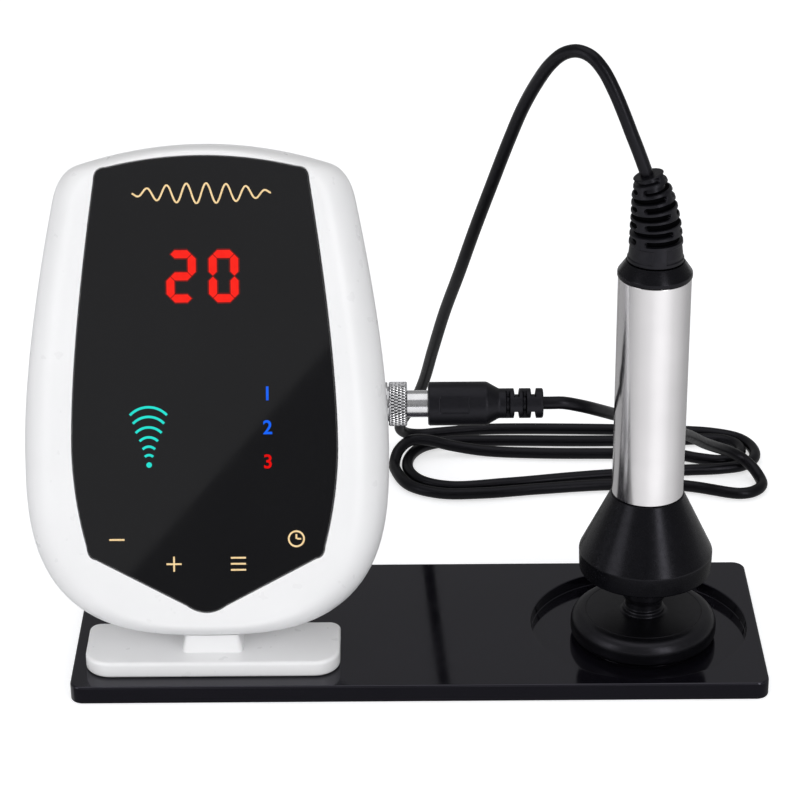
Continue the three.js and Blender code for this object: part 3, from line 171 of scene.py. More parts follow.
def empty_tree(owner: bpy.types.Material | bpy.types.World) -> Tree:
    """Gives a material or a world an empty node tree."""
    owner.use_nodes = True
    owner.node_tree.nodes.clear()
    return owner.node_tree


@dataclass(frozen=True)
class Finish:
    """A surface with a faint change of colour, uneven gloss and fine relief."""

    slot: Slot
    tint: str
    shade: str  # the colour that it drifts to
    roughness: Flat  # smoothest and roughest
    ior: float = 1.5
    metallic: float = 0.0
    specular: float = 0.5
    specular_tint: str = "#ffffff"
    drift: float = 14.0  # width of the patches of colour
    gloss_share: float = 0.2  # width of the patches of gloss, as a share of that
    grain: float = 0.5  # width of the finest marks
    relief: float = 0.004  # their depth
    stretch: Place = (1.0, 1.0, 1.0)  # how much longer the marks are along x, y and z

    def noise(self, tree: Tree, place: Socket, width: float) -> Socket:
        """Adds noise of a real width.

        Args:
            tree: The material's node tree.
            place: The coordinates, in metres.
            width: Width of the noise's patches in millimetres.

        Returns:
            The noise's value.
        """
        settings = {"Scale": 1 / (width * MM), "Detail": 2.0, "Roughness": 0.55}
        return add_node(tree, "TexNoise", settings, {"Vector": place}).outputs["Fac"]

    def marks(self, tree: Tree, place: Socket) -> Socket:
        """Gives the height of the finest marks: plain grain unless a finish has its own."""
        squeeze = tuple(1 / share for share in self.stretch)
        stretched = add_node(tree, "Mapping", {"Scale": squeeze}, {"Vector": place})
        return self.noise(tree, stretched.outputs["Vector"], self.grain)

    def dress(self, tree: Tree, place: Socket, shader: bpy.types.Node) -> None:
        """Adds what only this finish has; plain finishes add nothing."""

    def material(self) -> bpy.types.Material:
        """Makes the material, or returns the one that was made before.

        Returns:
            The material, named for this finish.
        """
        name = type(self).__name__
        known = bpy.data.materials.get(name)
        if known is not None:
            return known
        material = bpy.data.materials.new(name)
        tree = empty_tree(material)
        place = add_node(tree, "TexCoord").outputs["Object"]
        drift = self.noise(tree, place, self.drift)
        low, high = NOISE_SPREAD
        stops = ((low, linear(self.shade)), (high, linear(self.tint)))
        ramp = add_node(tree, "ValToRGB", {"stops": stops}, {"Fac": drift})
        smooth, rough = self.roughness
        gloss = add_node(
            tree,
            "MapRange",
            {"From Min": low, "From Max": high, "To Min": smooth, "To Max": rough},
            {"Value": self.noise(tree, place, self.drift * self.gloss_share)},
        )
        marks = self.marks(tree, place)
        bump = add_node(tree, "Bump", {"Strength": 1.0, "Distance": self.relief * MM}, {"Height": marks})
        settings = {
            "Metallic": self.metallic,
            "IOR": self.ior,
            "Specular IOR Level": self.specular,
            "Specular Tint": linear(self.specular_tint),
        }
        links = {
            "Base Color": ramp.outputs["Color"],
            "Roughness": gloss.outputs["Result"],
            "Normal": bump.outputs["Normal"],
        }
        shader = add_node(tree, "BsdfPrincipled", settings, links)
        self.dress(tree, place, shader)
        add_node(tree, "OutputMaterial", links={"Surface": shader.outputs["BSDF"]})
        return material


@dataclass(frozen=True)
class GlossWhiteAbs(Finish):
    """ABS moulded against a polished mould: an even bright white with soft, clear reflections."""

    slot: Slot = Slot.WHITE
    tint: str = "#f4f4f5"
    shade: str = "#f1f1f2"
    roughness: Flat = (0.27, 0.35)
    ior: float = 1.53
    drift: float = 30.0
    grain: float = 2.4  # the mould's polish leaves long, shallow waves
    relief: float = 0.0012


@dataclass(frozen=True)
class GlossBlackAcrylic(Finish):
    """Black acrylic sheet, flame polished: near black, with mirror-like reflections in it."""

    slot: Slot = Slot.TRAY
    tint: str = "#0d0c11"
    shade: str = "#0a090e"
    roughness: Flat = (0.07, 0.11)
    ior: float = 1.49
    specular: float = 0.6
    specular_tint: str = "#eeecff"
    drift: float = 40.0
    grain: float = 0.8  # fine dust, drawn coarser than it is so that it shows
    relief: float = 0.0006


@dataclass(frozen=True)
class SmokedPolycarbonate(Finish):
    """Polycarbonate window printed black on its back: deep grey-black under a flat hard gloss."""

    slot: Slot = Slot.PANEL
    tint: str = "#151517"
    shade: str = "#131315"
    roughness: Flat = (0.03, 0.045)
    ior: float = 1.58
    drift: float = 50.0
    grain: float = 3.0
    relief: float = 0.0004


@dataclass(frozen=True)
class SatinBlackAbs(Finish):
    """ABS moulded against a fine spark-eroded mould: black with broad, soft highlights."""

    slot: Slot = Slot.BLACK
    tint: str = "#0a0a0d"
    shade: str = "#070709"
    roughness: Flat = (0.22, 0.3)
    ior: float = 1.53
    specular: float = 0.2
    specular_tint: str = "#f2f0ff"
    drift: float = 10.0
    grain: float = 0.45
    relief: float = 0.003


@dataclass(frozen=True)
class TexturedAbs(SatinBlackAbs):
    """ABS from a spark-eroded mould: a fine grain that breaks its wide highlights up."""

    roughness: Flat = (0.3, 0.38)
    specular: float = 0.34
    relief: float = 0.006


@dataclass(frozen=True)
class PlasticisedPvc(Finish):
    """Extruded soft PVC sheath: black, with a dull sheen and faint drawn lines."""

    slot: Slot = Slot.RUBBER
    tint: str = "#08080a"
    shade: str = "#060608"
    roughness: Flat = (0.28, 0.4)
    ior: float = 1.54
    specular: float = 0.22
    specular_tint: str = "#f2f0ff"
    drift: float = 9.0
    relief: float = 0.008


@dataclass(frozen=True)
class MouldedTpe(Finish):
    """Thermoplastic elastomer moulded over the cable's ends: black and dull, with a fine texture."""

    slot: Slot = Slot.RUBBER
    tint: str = "#0c0c0f"
    shade: str = "#09090c"
    roughness: Flat = (0.32, 0.46)
    specular: float = 0.3
    specular_tint: str = "#f2f0ff"
    drift: float = 5.0
    grain: float = 0.35
    relief: float = 0.012


@dataclass(frozen=True)
class SlotTpe(MouldedTpe):
    """The same elastomer down in the boot's slots, near black as painted shade: rough, with next to no
    sheen.
    """

    tint: str = "#030304"
    shade: str = "#020203"
    roughness: Flat = (0.7, 0.85)
    specular: float = 0.04


@dataclass(frozen=True)
class GreySilicone(Finish):
    """Die-cut silicone pads: matte grey with a cloth-like impression."""

    slot: Slot = Slot.PAD
    tint: str = "#55565a"
    shade: str = "#47484c"
    roughness: Flat = (0.7, 0.85)
    ior: float = 1.41
    grain: float = 0.6
    relief: float = 0.03


@dataclass(frozen=True)
class PolishedStainless(Finish):
    """Stainless tube polished on a lathe: a bright satin mirror with fine lines round it."""

    slot: Slot = Slot.STEEL
    tint: str = "#e6e4e6"
    shade: str = "#e0dee0"
    roughness: Flat = (0.14, 0.2)
    metallic: float = 1.0
    drift: float = 20.0
    grain: float = 0.5  # the real lines are a tenth as wide, too fine to show
    relief: float = 0.0012
    stretch: Place = (14.0, 14.0, 1.0)


@dataclass(frozen=True)
class BrightNickel(Finish):
    """Nickel plate over turned brass: a hard, slightly warm mirror."""

    slot: Slot = Slot.NICKEL
    tint: str = "#f0f0f2"
    shade: str = "#e6e6e9"
    roughness: Flat = (0.14, 0.24)
    metallic: float = 1.0
    drift: float = 4.0
    grain: float = 0.3
    relief: float = 0.002
    stretch: Place = (0.4, 6.0, 6.0)


@dataclass(frozen=True)
class GrooveNickel(Finish):
    """Nickel in the knurl's grooves, darkened as painted shade: dark and dull."""

    slot: Slot = Slot.NICKEL
    tint: str = "#45454a"
    shade: str = "#303034"
    roughness: Flat = (0.4, 0.55)
    metallic: float = 1.0
    drift: float = 2.0
    grain: float = 0.3


@dataclass(frozen=True)
class TurnedBrass(Finish):
    """Bare turned brass: warm yellow with tool lines."""

    slot: Slot = Slot.BRASS
    tint: str = "#d8b160"
    shade: str = "#c79c4a"
    roughness: Flat = (0.25, 0.4)
    metallic: float = 1.0
    drift: float = 3.0
    grain: float = 0.3
    stretch: Place = (8.0, 8.0, 1.0)


@dataclass(frozen=True)
class ExtrudedAluminium(Finish):
    """Aluminium as extruded: pale grey with lines along the fins."""

    slot: Slot = Slot.ALUMINIUM
    tint: str = "#b9bbbf"
    shade: str = "#a6a8ac"
    roughness: Flat = (0.35, 0.5)
    metallic: float = 1.0
    grain: float = 0.25
    relief: float = 0.01
    stretch: Place = (1.0, 1.0, 20.0)


@dataclass(frozen=True)
class SolderMask(Finish):
    """Glass-epoxy board under solder mask: green, raised over its copper tracks."""

    slot: Slot = Slot.LAMINATE
    tint: str = "#1d6b3b"
    shade: str = "#145730"
    roughness: Flat = (0.3, 0.45)
    drift: float = 3.0
    grain: float = 3.6  # from track to track
    relief: float = 0.03

    def marks(self, tree: Tree, place: Socket) -> Socket:
        """Gives the raised bands of the tracks under the mask."""
        settings = {"distance": "CHEBYCHEV", "feature": "DISTANCE_TO_EDGE"}
        settings["Scale"] = 1 / (self.grain * MM)
        return add_node(tree, "TexVoronoi", settings, {"Vector": place}).outputs["Distance"]


@dataclass(frozen=True)
class SinteredFerrite(Finish):
    """Pressed and fired ferrite with its tape: dark grey and grainy."""

    slot: Slot = Slot.FERRITE
    tint: str = "#3b3b40"
    shade: str = "#2c2c30"
    roughness: Flat = (0.55, 0.7)
    grain: float = 0.4
    relief: float = 0.02


@dataclass(frozen=True)
class RedDiffuser(Finish):
    """Milky red cap of a seven-segment display."""

    slot: Slot = Slot.DISPLAY
    tint: str = "#7a1412"
    shade: str = "#641010"
    roughness: Flat = (0.35, 0.5)
    relief: float = 0.006


@dataclass(frozen=True)
class ClearAcrylic(Finish):
    """Moulded light guide: clear acrylic with a milky heart."""

    slot: Slot = Slot.GUIDE
    tint: str = "#e9edf0"
    shade: str = "#dde3e8"
    roughness: Flat = (0.12, 0.25)
    ior: float = 1.49
    grain: float = 1.0


@dataclass(frozen=True)
class Lit(Finish):
    """A symbol lit from behind: its colour glows, a little unevenly over each diode."""

    slot: Slot = Slot.PANEL
    shade: str = "#000000"
    tint: str = "#020202"
    roughness: Flat = (0.05, 0.08)
    glow: str = "#ffffff"
    glow_edge: str = "#e0e0e0"
    strength: float = 1.0
    diode: float = 3.0  # distance between diodes
    glow_spread: Flat = (0.25, 0.6)  # the noise's values from the glow's edge to its full colour

    def dress(self, tree: Tree, place: Socket, shader: bpy.types.Node) -> None:
        """Adds the glow."""
        stops = tuple(zip(self.glow_spread, (linear(self.glow_edge), linear(self.glow))))
        unevenness = self.noise(tree, place, self.diode)
        light = add_node(tree, "ValToRGB", {"stops": stops}, {"Fac": unevenness})
        tree.links.new(light.outputs["Color"], shader.inputs["Emission Color"])
        shader.inputs["Emission Strength"].default_value = self.strength


@dataclass(frozen=True)
class RedSegments(Lit):
    """Lit red segments of the time display."""

    slot: Slot = Slot.DISPLAY
    glow: str = "#ff2012"
    glow_edge: str = "#f81a0e"


@dataclass(frozen=True)
class RedHalo(Lit):
    """The display's glow that spreads in the window round each segment."""

    slot: Slot = Slot.DISPLAY
    glow: str = "#6a1512"
    glow_edge: str = "#5c1210"


@dataclass(frozen=True)
class CyanSymbol(Lit):
    """Lit cyan power symbol."""

    glow: str = "#20e6d6"
    glow_edge: str = "#1cdccd"


@dataclass(frozen=True)
class BlueNumeral(Lit):
    """Lit blue zone numerals."""

    glow: str = "#1266fc"
    glow_edge: str = "#0e5cf0"


@dataclass(frozen=True)
class RedNumeral(Lit):
    """Lit red zone numeral."""

    glow: str = "#ee0c0a"
    glow_edge: str = "#e20808"


@dataclass(frozen=True)
class GoldInk(Finish):
    """Screen-printed gold ink: a warm cream with a dull metallic body."""

    slot: Slot = Slot.PANEL
    tint: str = "#fbdca6"
    shade: str = "#f3d093"
    roughness: Flat = (0.3, 0.4)
    drift: float = 2.0
    grain: float = 0.3


@dataclass(frozen=True)
class WhiteInk(Finish):
    """Pad-printed white ink on the switch."""

    slot: Slot = Slot.BLACK
    tint: str = "#e6e6e6"
    shade: str = "#d8d8d8"
    roughness: Flat = (0.4, 0.5)
    grain: float = 0.3


FINISH_OF_SLOT: dict[Slot, Finish] = {finish.slot: finish for finish in (
    GlossWhiteAbs(), GlossBlackAcrylic(), SmokedPolycarbonate(), SatinBlackAbs(), PlasticisedPvc(),
    GreySilicone(), PolishedStainless(), BrightNickel(), TurnedBrass(), ExtrudedAluminium(),
    SolderMask(), SinteredFerrite(), RedDiffuser(), ClearAcrylic(),
)}


# Shapes


def rounded(corners: Sequence[Corner], steps: int = 6, closed: bool = True) -> list[Flat]:
    """Rounds each corner of an outline by its own radius.

    Args:
        corners: The corners in order, each with its radius.
        steps: How many edges each arc gets.
        closed: False for a line whose ends stay where they are.

    Returns:
        The points of the rounded outline.
    """
    points: list[Flat] = []
    last = len(corners) - 1
    for i, (x, y, radius) in enumerate(corners):
        if radius == 0 or (not closed and i in (0, last)):
            points.append((x, y))
            continue
        here = Vector((x, y))
        back = (Vector(corners[i - 1][:2]) - here).normalized()
        ahead = (Vector(corners[(i + 1) % (last + 1)][:2]) - here).normalized()
        half = back.angle(ahead) / 2
        middle = here + (back + ahead).normalized() * (radius / math.sin(half))
        start = here + back * (radius / math.tan(half)) - middle
        end = here + ahead * (radius / math.tan(half)) - middle
        sweep = math.copysign(math.pi - 2 * half, start.cross(end))
        for k in range(steps + 1):
            turn = Matrix.Rotation(sweep * k / steps, 2)
            points.append(tuple(middle + turn @ start))
    return points


def rectangle(left: float, right: float, front: float, back: float, radius: float = 0) -> list[Corner]:
    """Gives the corners of a rectangle, all with one radius."""
    return [(left, front, radius), (right, front, radius), (right, back, radius), (left, back, radius)]


def drawn_in(points: Sequence[Flat], amount: float) -> list[Flat]:
    """Moves a closed outline, listed counterclockwise, inwards.

    Args:
        points: The outline.
        amount: How far it moves; negative moves it outwards.

    Returns:
        The moved outline, with as many points.
    """
    moved = []
    for i, point in enumerate(points):
        here = Vector(point)
        into = (here - Vector(points[i - 1])).normalized()
        out = (Vector(points[(i + 1) % len(points)]) - here).normalized()
        first, second = Vector((-into.y, into.x)), Vector((-out.y, out.x))
        moved.append(tuple(here + (first + second) * (amount / (1 + first.dot(second)))))
    return moved


def bezier(start: Flat, control: Flat, end: Flat, steps: int) -> list[Flat]:
    """Gives points on a quadratic curve, without its start."""
    points = []
    for k in range(1, steps + 1):
        t = k / steps
        a, b, c = (1 - t) ** 2, 2 * t * (1 - t), t * t
        points.append(tuple(a * p + b * q + c * r for p, q, r in zip(start, control, end)))
    return points


def circle(x: float, y: float, radius: float, count: int) -> list[Flat]:
    """Gives points round a circle, counterclockwise from its right."""
    turns = (math.tau * i / count for i in range(count))
    return [(x + radius * math.cos(a), y + radius * math.sin(a)) for a in turns]


def quarter_round(steps: int = EDGE_STEPS) -> list[Flat]:
    """Gives how far in and how far down a round edge's points lie, as shares of its radius."""
    turns = (math.pi / 2 * k / steps for k in range(steps + 1))
    return [(1 - math.cos(a), 1 - math.sin(a)) for a in turns]


def bridge(mesh: Mesh, low: Sequence[bmesh.types.BMVert], high: Sequence[bmesh.types.BMVert]) -> None:
    """Joins two rings of as many points with faces."""
    for i, corner in enumerate(low):
        j = (i + 1) % len(low)
        mesh.faces.new((corner, low[j], high[j], high[i]))


def skinned(rings: Sequence[Sequence[Place]]) -> Mesh:
    """Skins a closed form over rings of points, with a cap on each end.

    Args:
        rings: Rings with as many points each, from one end to the other.

    Returns:
        The closed mesh.
    """
    mesh = bmesh.new()
    verts = [[mesh.verts.new(point) for point in ring] for ring in rings]
    for low, high in zip(verts, verts[1:]):
        bridge(mesh, low, high)
    mesh.faces.new(list(reversed(verts[0])))
    mesh.faces.new(verts[-1])
    return mesh


def revolved(
    profile: Sequence[Flat],
    segments: int = 96,
    cut: Callable[[float, float, float], float] | None = None,
) -> Mesh:
    """Turns a profile of radius and height round the z axis.

    Args:
        profile: The profile; it closes on itself unless it starts and ends on the axis.
        segments: How many segments a full turn gets.
        cut: Gives how deep the surface is cut at a radius, angle and height.

    Returns:
        The closed mesh.
    """
    mesh = bmesh.new()
    rings = []
    for radius, height in profile:
        if radius < TINY:
            rings.append([mesh.verts.new((0, 0, height))] * segments)
            continue
        ring = []
        for i in range(segments):
            angle = math.tau * i / segments
            real = radius - (cut(radius, angle, height) if cut else 0)
            ring.append(mesh.verts.new((real * math.cos(angle), real * math.sin(angle), height)))
        rings.append(ring)
    pairs = list(zip(rings, rings[1:]))
    if profile[0][0] > TINY or profile[-1][0] > TINY:
        pairs.append((rings[-1], rings[0]))
    for low, high in pairs:
        for i in range(segments):
            j = (i + 1) % segments
            corners = list(dict.fromkeys((low[i], low[j], high[j], high[i])))
            if len(corners) > 2:
                mesh.faces.new(corners)
    return mesh


def finely(profile: Sequence[Flat], step: float) -> list[Flat]:
    """Adds points to a profile so that none are farther apart than a step."""
    points = [profile[0]]
    for start, end in zip(profile, profile[1:]):
        count = max(1, math.ceil(math.dist(start, end) / step))
        for k in range(1, count + 1):
            points.append(tuple(a + (b - a) * (k / count) for a, b in zip(start, end)))
    return points


def prism(outline: Sequence[Flat], start: float, end: float) -> Mesh:
    """Extrudes an outline of x and z from one y to another."""
    return skinned([[(x, y, z) for x, z in outline] for y in (start, end)])


def cylinder(radius: float, start: float, end: float, x: float, z: float, segments: int = 48) -> Mesh:
    """Makes a cylinder along y."""
    return prism(circle(x, z, radius, segments), start, end)


def box(low: Place, high: Place) -> Mesh:
    """Makes a block from its lowest and highest corners."""
    outline = [(low[0], low[2]), (high[0], low[2]), (high[0], high[2]), (low[0], high[2])]
    return prism(outline, low[1], high[1])


@dataclass(frozen=True)
class Well:
    """A round well in an eased plate."""

    x: float
    y: float
    radius: float
    floor: float
    lip: float = 0.0
    segments: int = 48
    fillet: float = 0.15  # where its wall meets its floor

    def ring(self, radius: float, height: float) -> list[Place]:
        """Gives a ring of points round the well's axis."""
        return [(x, y, height) for x, y in circle(self.x, self.y, radius, self.segments)]

    def profile(self, mouth: float, down: float) -> list[Flat]:
        """Gives its radius and height from its mouth to its floor.

        Args:
            mouth: Height of its mouth.
            down: Which way it goes from there, one or minus one.

        Returns:
            The profile, with a level ring beside each face.
        """
        radius, lip, floor = self.radius, self.lip, self.floor
        foot = radius - self.fillet
        points = [
            (radius + lip + LEVEL_RING, mouth),
            *((radius + lip * out, mouth + down * lip * deep) for deep, out in quarter_round()),
            (radius, floor - down * self.fillet), (foot, floor), (foot - LEVEL_RING, floor),
        ]
        return list(dict.fromkeys(points))


def eased_plate(
    outline: Sequence[Flat],
    bottom: float,
    top: float,
    ease: float,
    top_wells: Sequence[Well] = (),
    bottom_wells: Sequence[Well] = (),
) -> Mesh:
    """Makes a plate whose upper and lower edges are rounded, with wells in it.

    Args:
        outline: The plan of x and y, counterclockwise.
        bottom: Height of its underside.
        top: Height of its top.
        ease: Radius of its edges.
        top_wells: Wells that open upwards.
        bottom_wells: Wells that open downwards.

    Returns:
        The closed mesh.
    """
    mesh = bmesh.new()
    levels = [(bottom + ease * down, ease * inset) for inset, down in reversed(quarter_round())]
    levels += [(top - ease * down, ease * inset) for inset, down in quarter_round()]
    levels = [(bottom, ease + LEVEL_RING), *levels, (top, ease + LEVEL_RING)]
    rings = [[mesh.verts.new((x, y, z)) for x, y in drawn_in(outline, inset)] for z, inset in levels]

    def rim(ring: list[bmesh.types.BMVert]) -> list[bmesh.types.BMEdge]:
        """Gives the edges round a ring."""
        return [mesh.edges.get((v, ring[(i + 1) % len(ring)])) for i, v in enumerate(ring)]

    for low, high in zip(rings, rings[1:]):
        bridge(mesh, low, high)
    faces = ((rings[-1], top_wells, top, -1), (rings[0], bottom_wells, bottom, 1))
    for outer, wells, height, down in faces:
        edges = rim(outer)
        for well in wells:
            levels = well.profile(height, down)
            loops = [[mesh.verts.new(place) for place in well.ring(*level)] for level in levels]
            for low, high in zip(loops, loops[1:]):
                bridge(mesh, low, high)
            mesh.faces.new(loops[-1])
            edges += rim(loops[0])
        bmesh.ops.triangle_fill(mesh, use_beauty=True, edges=edges)
    return mesh


def merged(meshes: Sequence[Mesh]) -> Mesh:
    """Puts separate meshes into the first of them."""
    first = meshes[0]
    for other in meshes[1:]:
        data = bpy.data.meshes.new("part")
        other.to_mesh(data)
        other.free()
        first.from_mesh(data)
        bpy.data.meshes.remove(data)
    return first


def placed_object(name: str, mesh: Mesh) -> bpy.types.Object:
    """Turns a mesh, which is used up, into an object of the scene."""
    data = bpy.data.meshes.new(name)
    mesh.to_mesh(data)
    mesh.free()
    made = bpy.data.objects.new(name, data)
    bpy.context.collection.objects.link(made)
    return made


def worked(mesh: Mesh, tools: Sequence[tuple[Operation, Mesh]]) -> Mesh:
    """Works on a closed mesh with others, in order.

    Args:
        mesh: The mesh to work on.
        tools: What is done and the mesh that does it.

    Returns:
        The result.
    """
    made = []
    for form in (mesh, *(tool for _, tool in tools)):
        bmesh.ops.recalc_face_normals(form, faces=form.faces)
        made.append(placed_object("work", form))
    for (operation, _), tool in zip(tools, made[1:]):
        modifier = made[0].modifiers.new("work", "BOOLEAN")
        modifier.operation = operation.value
        modifier.solver = "EXACT"
        modifier.object = tool
    depsgraph = bpy.context.evaluated_depsgraph_get()
    data = bpy.data.meshes.new_from_object(made[0].evaluated_get(depsgraph))
    result = bmesh.new()
    result.from_mesh(data)
    bpy.data.meshes.remove(data)
    for thing in made:
        bpy.data.meshes.remove(thing.data)
    bmesh.ops.remove_doubles(result, verts=result.verts, dist=TINY)
    return result


def piece(
    name: str,
    mesh: Mesh,
    finish: Finish,
    body: Body | None,
    replaces: Sequence[str] = (),
    placed: Matrix | None = None,
    crease: float = 32.0,
) -> bpy.types.Object:
    """Makes a piece of the object from a mesh in millimetres.

    Args:
        name: The piece's name.
        mesh: Its mesh, which is used up.
        finish: What it is made of.
        body: The body that it rides on, or None.
        replaces: CAD nodes that it stands for.
        placed: Where its mesh goes, in millimetres.
        crease: Edges sharper than this many degrees stay sharp.

    Returns:
        The new object.
    """
    mesh.transform(Matrix.Scale(MM, 4) @ (placed or Matrix.Identity(4)))
    bmesh.ops.recalc_face_normals(mesh, faces=mesh.faces)
    made = placed_object(name, mesh)
    data = made.data
    data.polygons.foreach_set("use_smooth", [True] * len(data.polygons))
    data.set_sharp_from_angle(angle=math.radians(crease))
    data.materials.append(finish.material())
    if body is not None:
        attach(made, body.value)
    if replaces:
        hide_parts(*replaces)
    log.info("%s: %d faces, %s", name, len(data.polygons), type(finish).__name__)
    return made


# Studio


@dataclass(frozen=True)
class SoftBox:
    """A lamp with a soft rectangular face."""

    name: str
    place: Place
    size: Flat  # width and height
    watts: float
    in_gloss: bool  # True where glossy surfaces reflect it


@dataclass
class Studio:
    """Camera, lamps, floor and the cards that shiny surfaces reflect."""

    image_width: float = 800.0  # pixels
    focal_length: float = 2924.1  # pixels
    sensor: float = 36.0
    camera_place: Place = (-6.41, -905.45, 532.17)
    pitch: float = 0.45  # radians, downwards
    yaw: float = 0.000349
    roll: float = -0.0067
    sight: float = 100.0  # metres that the camera sees
    lamps: tuple[SoftBox, ...] = (
        SoftBox("key_strip", (567, -879, 497), (260, 900), 2.8, True),
        SoftBox("fill_strip", (-1025, -665, 505), (500, 900), 2.4, True),
        SoftBox("front_softbox", (-400, -1660, 700), (1500, 1100), 8.5, False),
        SoftBox("top_softbox", (0, 300, 1400), (1500, 1200), 3.0, False),
    )
    centre: Place = (0.0, 0.0, 90.0)  # what the lamps face
    floor_half: float = 6000.0
    floor_tint: str = "#d9dadd"
    floor_glow: float = 0.6
    ambient: float = 0.5
    drape_radius: float = 2600.0
    drape_top: float = 4500.0
    drape_panels: int = 48
    drape_tone: float = 0.27
    window_flag: tuple[Place, ...] = ((-360, -1100, 58.9), (60, -1100, 58.9), (60, -1100, 554.7))
    flag_tone: float = 0.07
    handset: Flat = (80.0, -1.3)
    apron_radius: float = 88.0
    apron_strip: tuple[float, float, float, float] = (-135.0, 135.0, -66.0, -42.0)
    apron_tone: float = 0.17
    card_heights: Place = (0.3, 0.25, 0.1)  # of the strip, the apron and the fan
    fan_radius: float = 1000.0
    fan_white: float = 1.2
    fan_tones: tuple[Flat, ...] = (  # degrees from the front towards +X, and the share of fan_white
        (-90, 0.39), (-69, 0.52), (-53, 0.61), (-39, 0.69), (-25, 0.75), (-12, 0.81), (2, 0.93),
        (15, 1.0), (28, 0.98), (42.5, 0.88), (57, 0.73), (73, 0.64), (90.5, 0.53), (111, 0.41),
        (141, 0.33), (228, 0.34), (254, 0.33), (270, 0.39),
    )

    def camera_matrix(self) -> Matrix:
        """Gives the camera's place and turn, in metres."""
        turn = Matrix.Rotation(-self.yaw, 4, "Z") @ Matrix.Rotation(math.pi / 2 - self.pitch, 4, "X")
        turn @= Matrix.Rotation(self.roll, 4, "Z")
        return Matrix.Translation(Vector(self.camera_place) * MM) @ turn

    def make_camera(self) -> None:
        """Adds the camera at the photograph's viewpoint."""
        data = bpy.data.cameras.new("camera")
        data.sensor_fit = "HORIZONTAL"
        data.sensor_width = self.sensor
        data.lens = self.focal_length / self.image_width * self.sensor
        data.clip_end = self.sight
        camera = bpy.data.objects.new("camera", data)
        camera.matrix_world = self.camera_matrix()
        bpy.context.collection.objects.link(camera)
        bpy.context.scene.camera = camera

    def seen_directly(self, tree: Tree) -> Socket:
        """Gives one for rays that look at the background, straight or by way of gloss or glass."""
        path = add_node(tree, "LightPath")
        seen = path.outputs["Is Camera Ray"]
        for kind in ("Is Glossy Ray", "Is Transmission Ray"):
            either = add_node(tree, "Math", {"operation": "MAXIMUM"}, {0: seen, 1: path.outputs[kind]})
            seen = either.outputs[0]
        return seen

    def make_world(self) -> None:
        """Lights the scene evenly, and shows white where nothing stands."""
        world = bpy.data.worlds.new("world")
        tree = empty_tree(world)
        seen = self.seen_directly(tree)
        strength = add_node(tree, "MapRange", {"To Min": self.ambient, "To Max": 1.0}, {"Value": seen})
        sky = add_node(tree, "Background", {"Color": WHITE}, {"Strength": strength.outputs["Result"]})
        add_node(tree, "OutputWorld", links={"Surface": sky.outputs["Background"]})
        bpy.context.scene.world = world

    def panels(self, name: str, corners: Sequence[Sequence[Place]],
               material: bpy.types.Material) -> bpy.types.Object:
        """Sets up flat panels in a material."""
        mesh = bmesh.new()
        for panel in corners:
            mesh.faces.new([mesh.verts.new(Vector(corner) * MM) for corner in panel])
        made = placed_object(name, mesh)
        made.data.materials.append(material)
        return made

    def make_floor(self) -> None:
        """Lays the pale floor, which turns white in view and keeps the shadow."""
        material = bpy.data.materials.new("floor_paper")
        tree = empty_tree(material)
        paper = add_node(tree, "BsdfDiffuse", {"Color": linear(self.floor_tint)})
        seen = self.seen_directly(tree)
        strength = add_node(tree, "Math", {"operation": "MULTIPLY", 1: self.floor_glow}, {0: seen})
        glow = add_node(tree, "Emission", {"Color": WHITE}, {"Strength": strength.outputs[0]})
        both = add_node(tree, "AddShader", links={0: paper.outputs["BSDF"], 1: glow.outputs["Emission"]})
        add_node(tree, "OutputMaterial", links={"Surface": both.outputs["Shader"]})
        half = self.floor_half
        corners = [(x, y, 0) for x, y, _ in rectangle(-half, half, -half, half)]
        floor = self.panels("floor", [corners], material)

    def hang(self, box: SoftBox) -> None:
        """Hangs a lamp, turned to the object's middle."""
        data = bpy.data.lights.new(box.name, "AREA")
        data.shape = "RECTANGLE"
        data.size, data.size_y = (side * MM for side in box.size)
        data.energy = box.watts
        lamp = bpy.data.objects.new(box.name, data)
        way = Vector(self.centre) - Vector(box.place)
        turn = way.to_track_quat("-Z", "Y").to_matrix().to_4x4()
        lamp.matrix_world = Matrix.Translation(Vector(box.place) * MM) @ turn
        lamp.visible_glossy = box.in_gloss
        bpy.context.collection.objects.link(lamp)

    def shade_round(self, tree: Tree, glow: bpy.types.Node, tones: Sequence[Flat]) -> None:
        """Shades a card by the direction in which it lies from the handset.

        Args:
            tree: The card's node tree.
            glow: Its emission node.
            tones: Degrees from the front towards +X, and the tone there.
        """
        place = add_node(tree, "TexCoord").outputs["Object"]
        away = (-self.handset[0] * MM, -self.handset[1] * MM, 0)
        centred = add_node(tree, "Mapping", {"Location": away}, {"Vector": place})
        around = add_node(tree, "TexGradient", {"gradient_type": "RADIAL"},
                          {"Vector": centred.outputs["Vector"]})
        # The gradient starts a quarter turn before the front
        stops = [((degrees + 90) / 360, (tone, tone, tone, 1)) for degrees, tone in tones]
        ramp = add_node(tree, "ValToRGB", {"stops": stops}, {"Fac": around.outputs["Fac"]})
        tree.links.new(ramp.outputs["Color"], glow.inputs["Color"])

    def make_card(self, name: str, corners: Sequence[Sequence[Place]], brightness: float,
                  tones: Sequence[Flat] = ()) -> None:
        """Sets up a card or a drape where only glossy surfaces see it.

        Args:
            name: Its name.
            corners: The corners of each of its panels.
            brightness: What it sends out, where one is white.
            tones: Its shares of that brightness by direction, where it isn't even.
        """
        material = bpy.data.materials.new(name)
        tree = empty_tree(material)
        glow = add_node(tree, "Emission", {"Color": WHITE, "Strength": brightness})
        if tones:
            self.shade_round(tree, glow, tones)
        add_node(tree, "OutputMaterial", links={"Surface": glow.outputs["Emission"]})
        card = self.panels(name, corners, material)
        card.visible_camera = card.visible_diffuse = False
        card.visible_shadow = card.visible_transmission = False

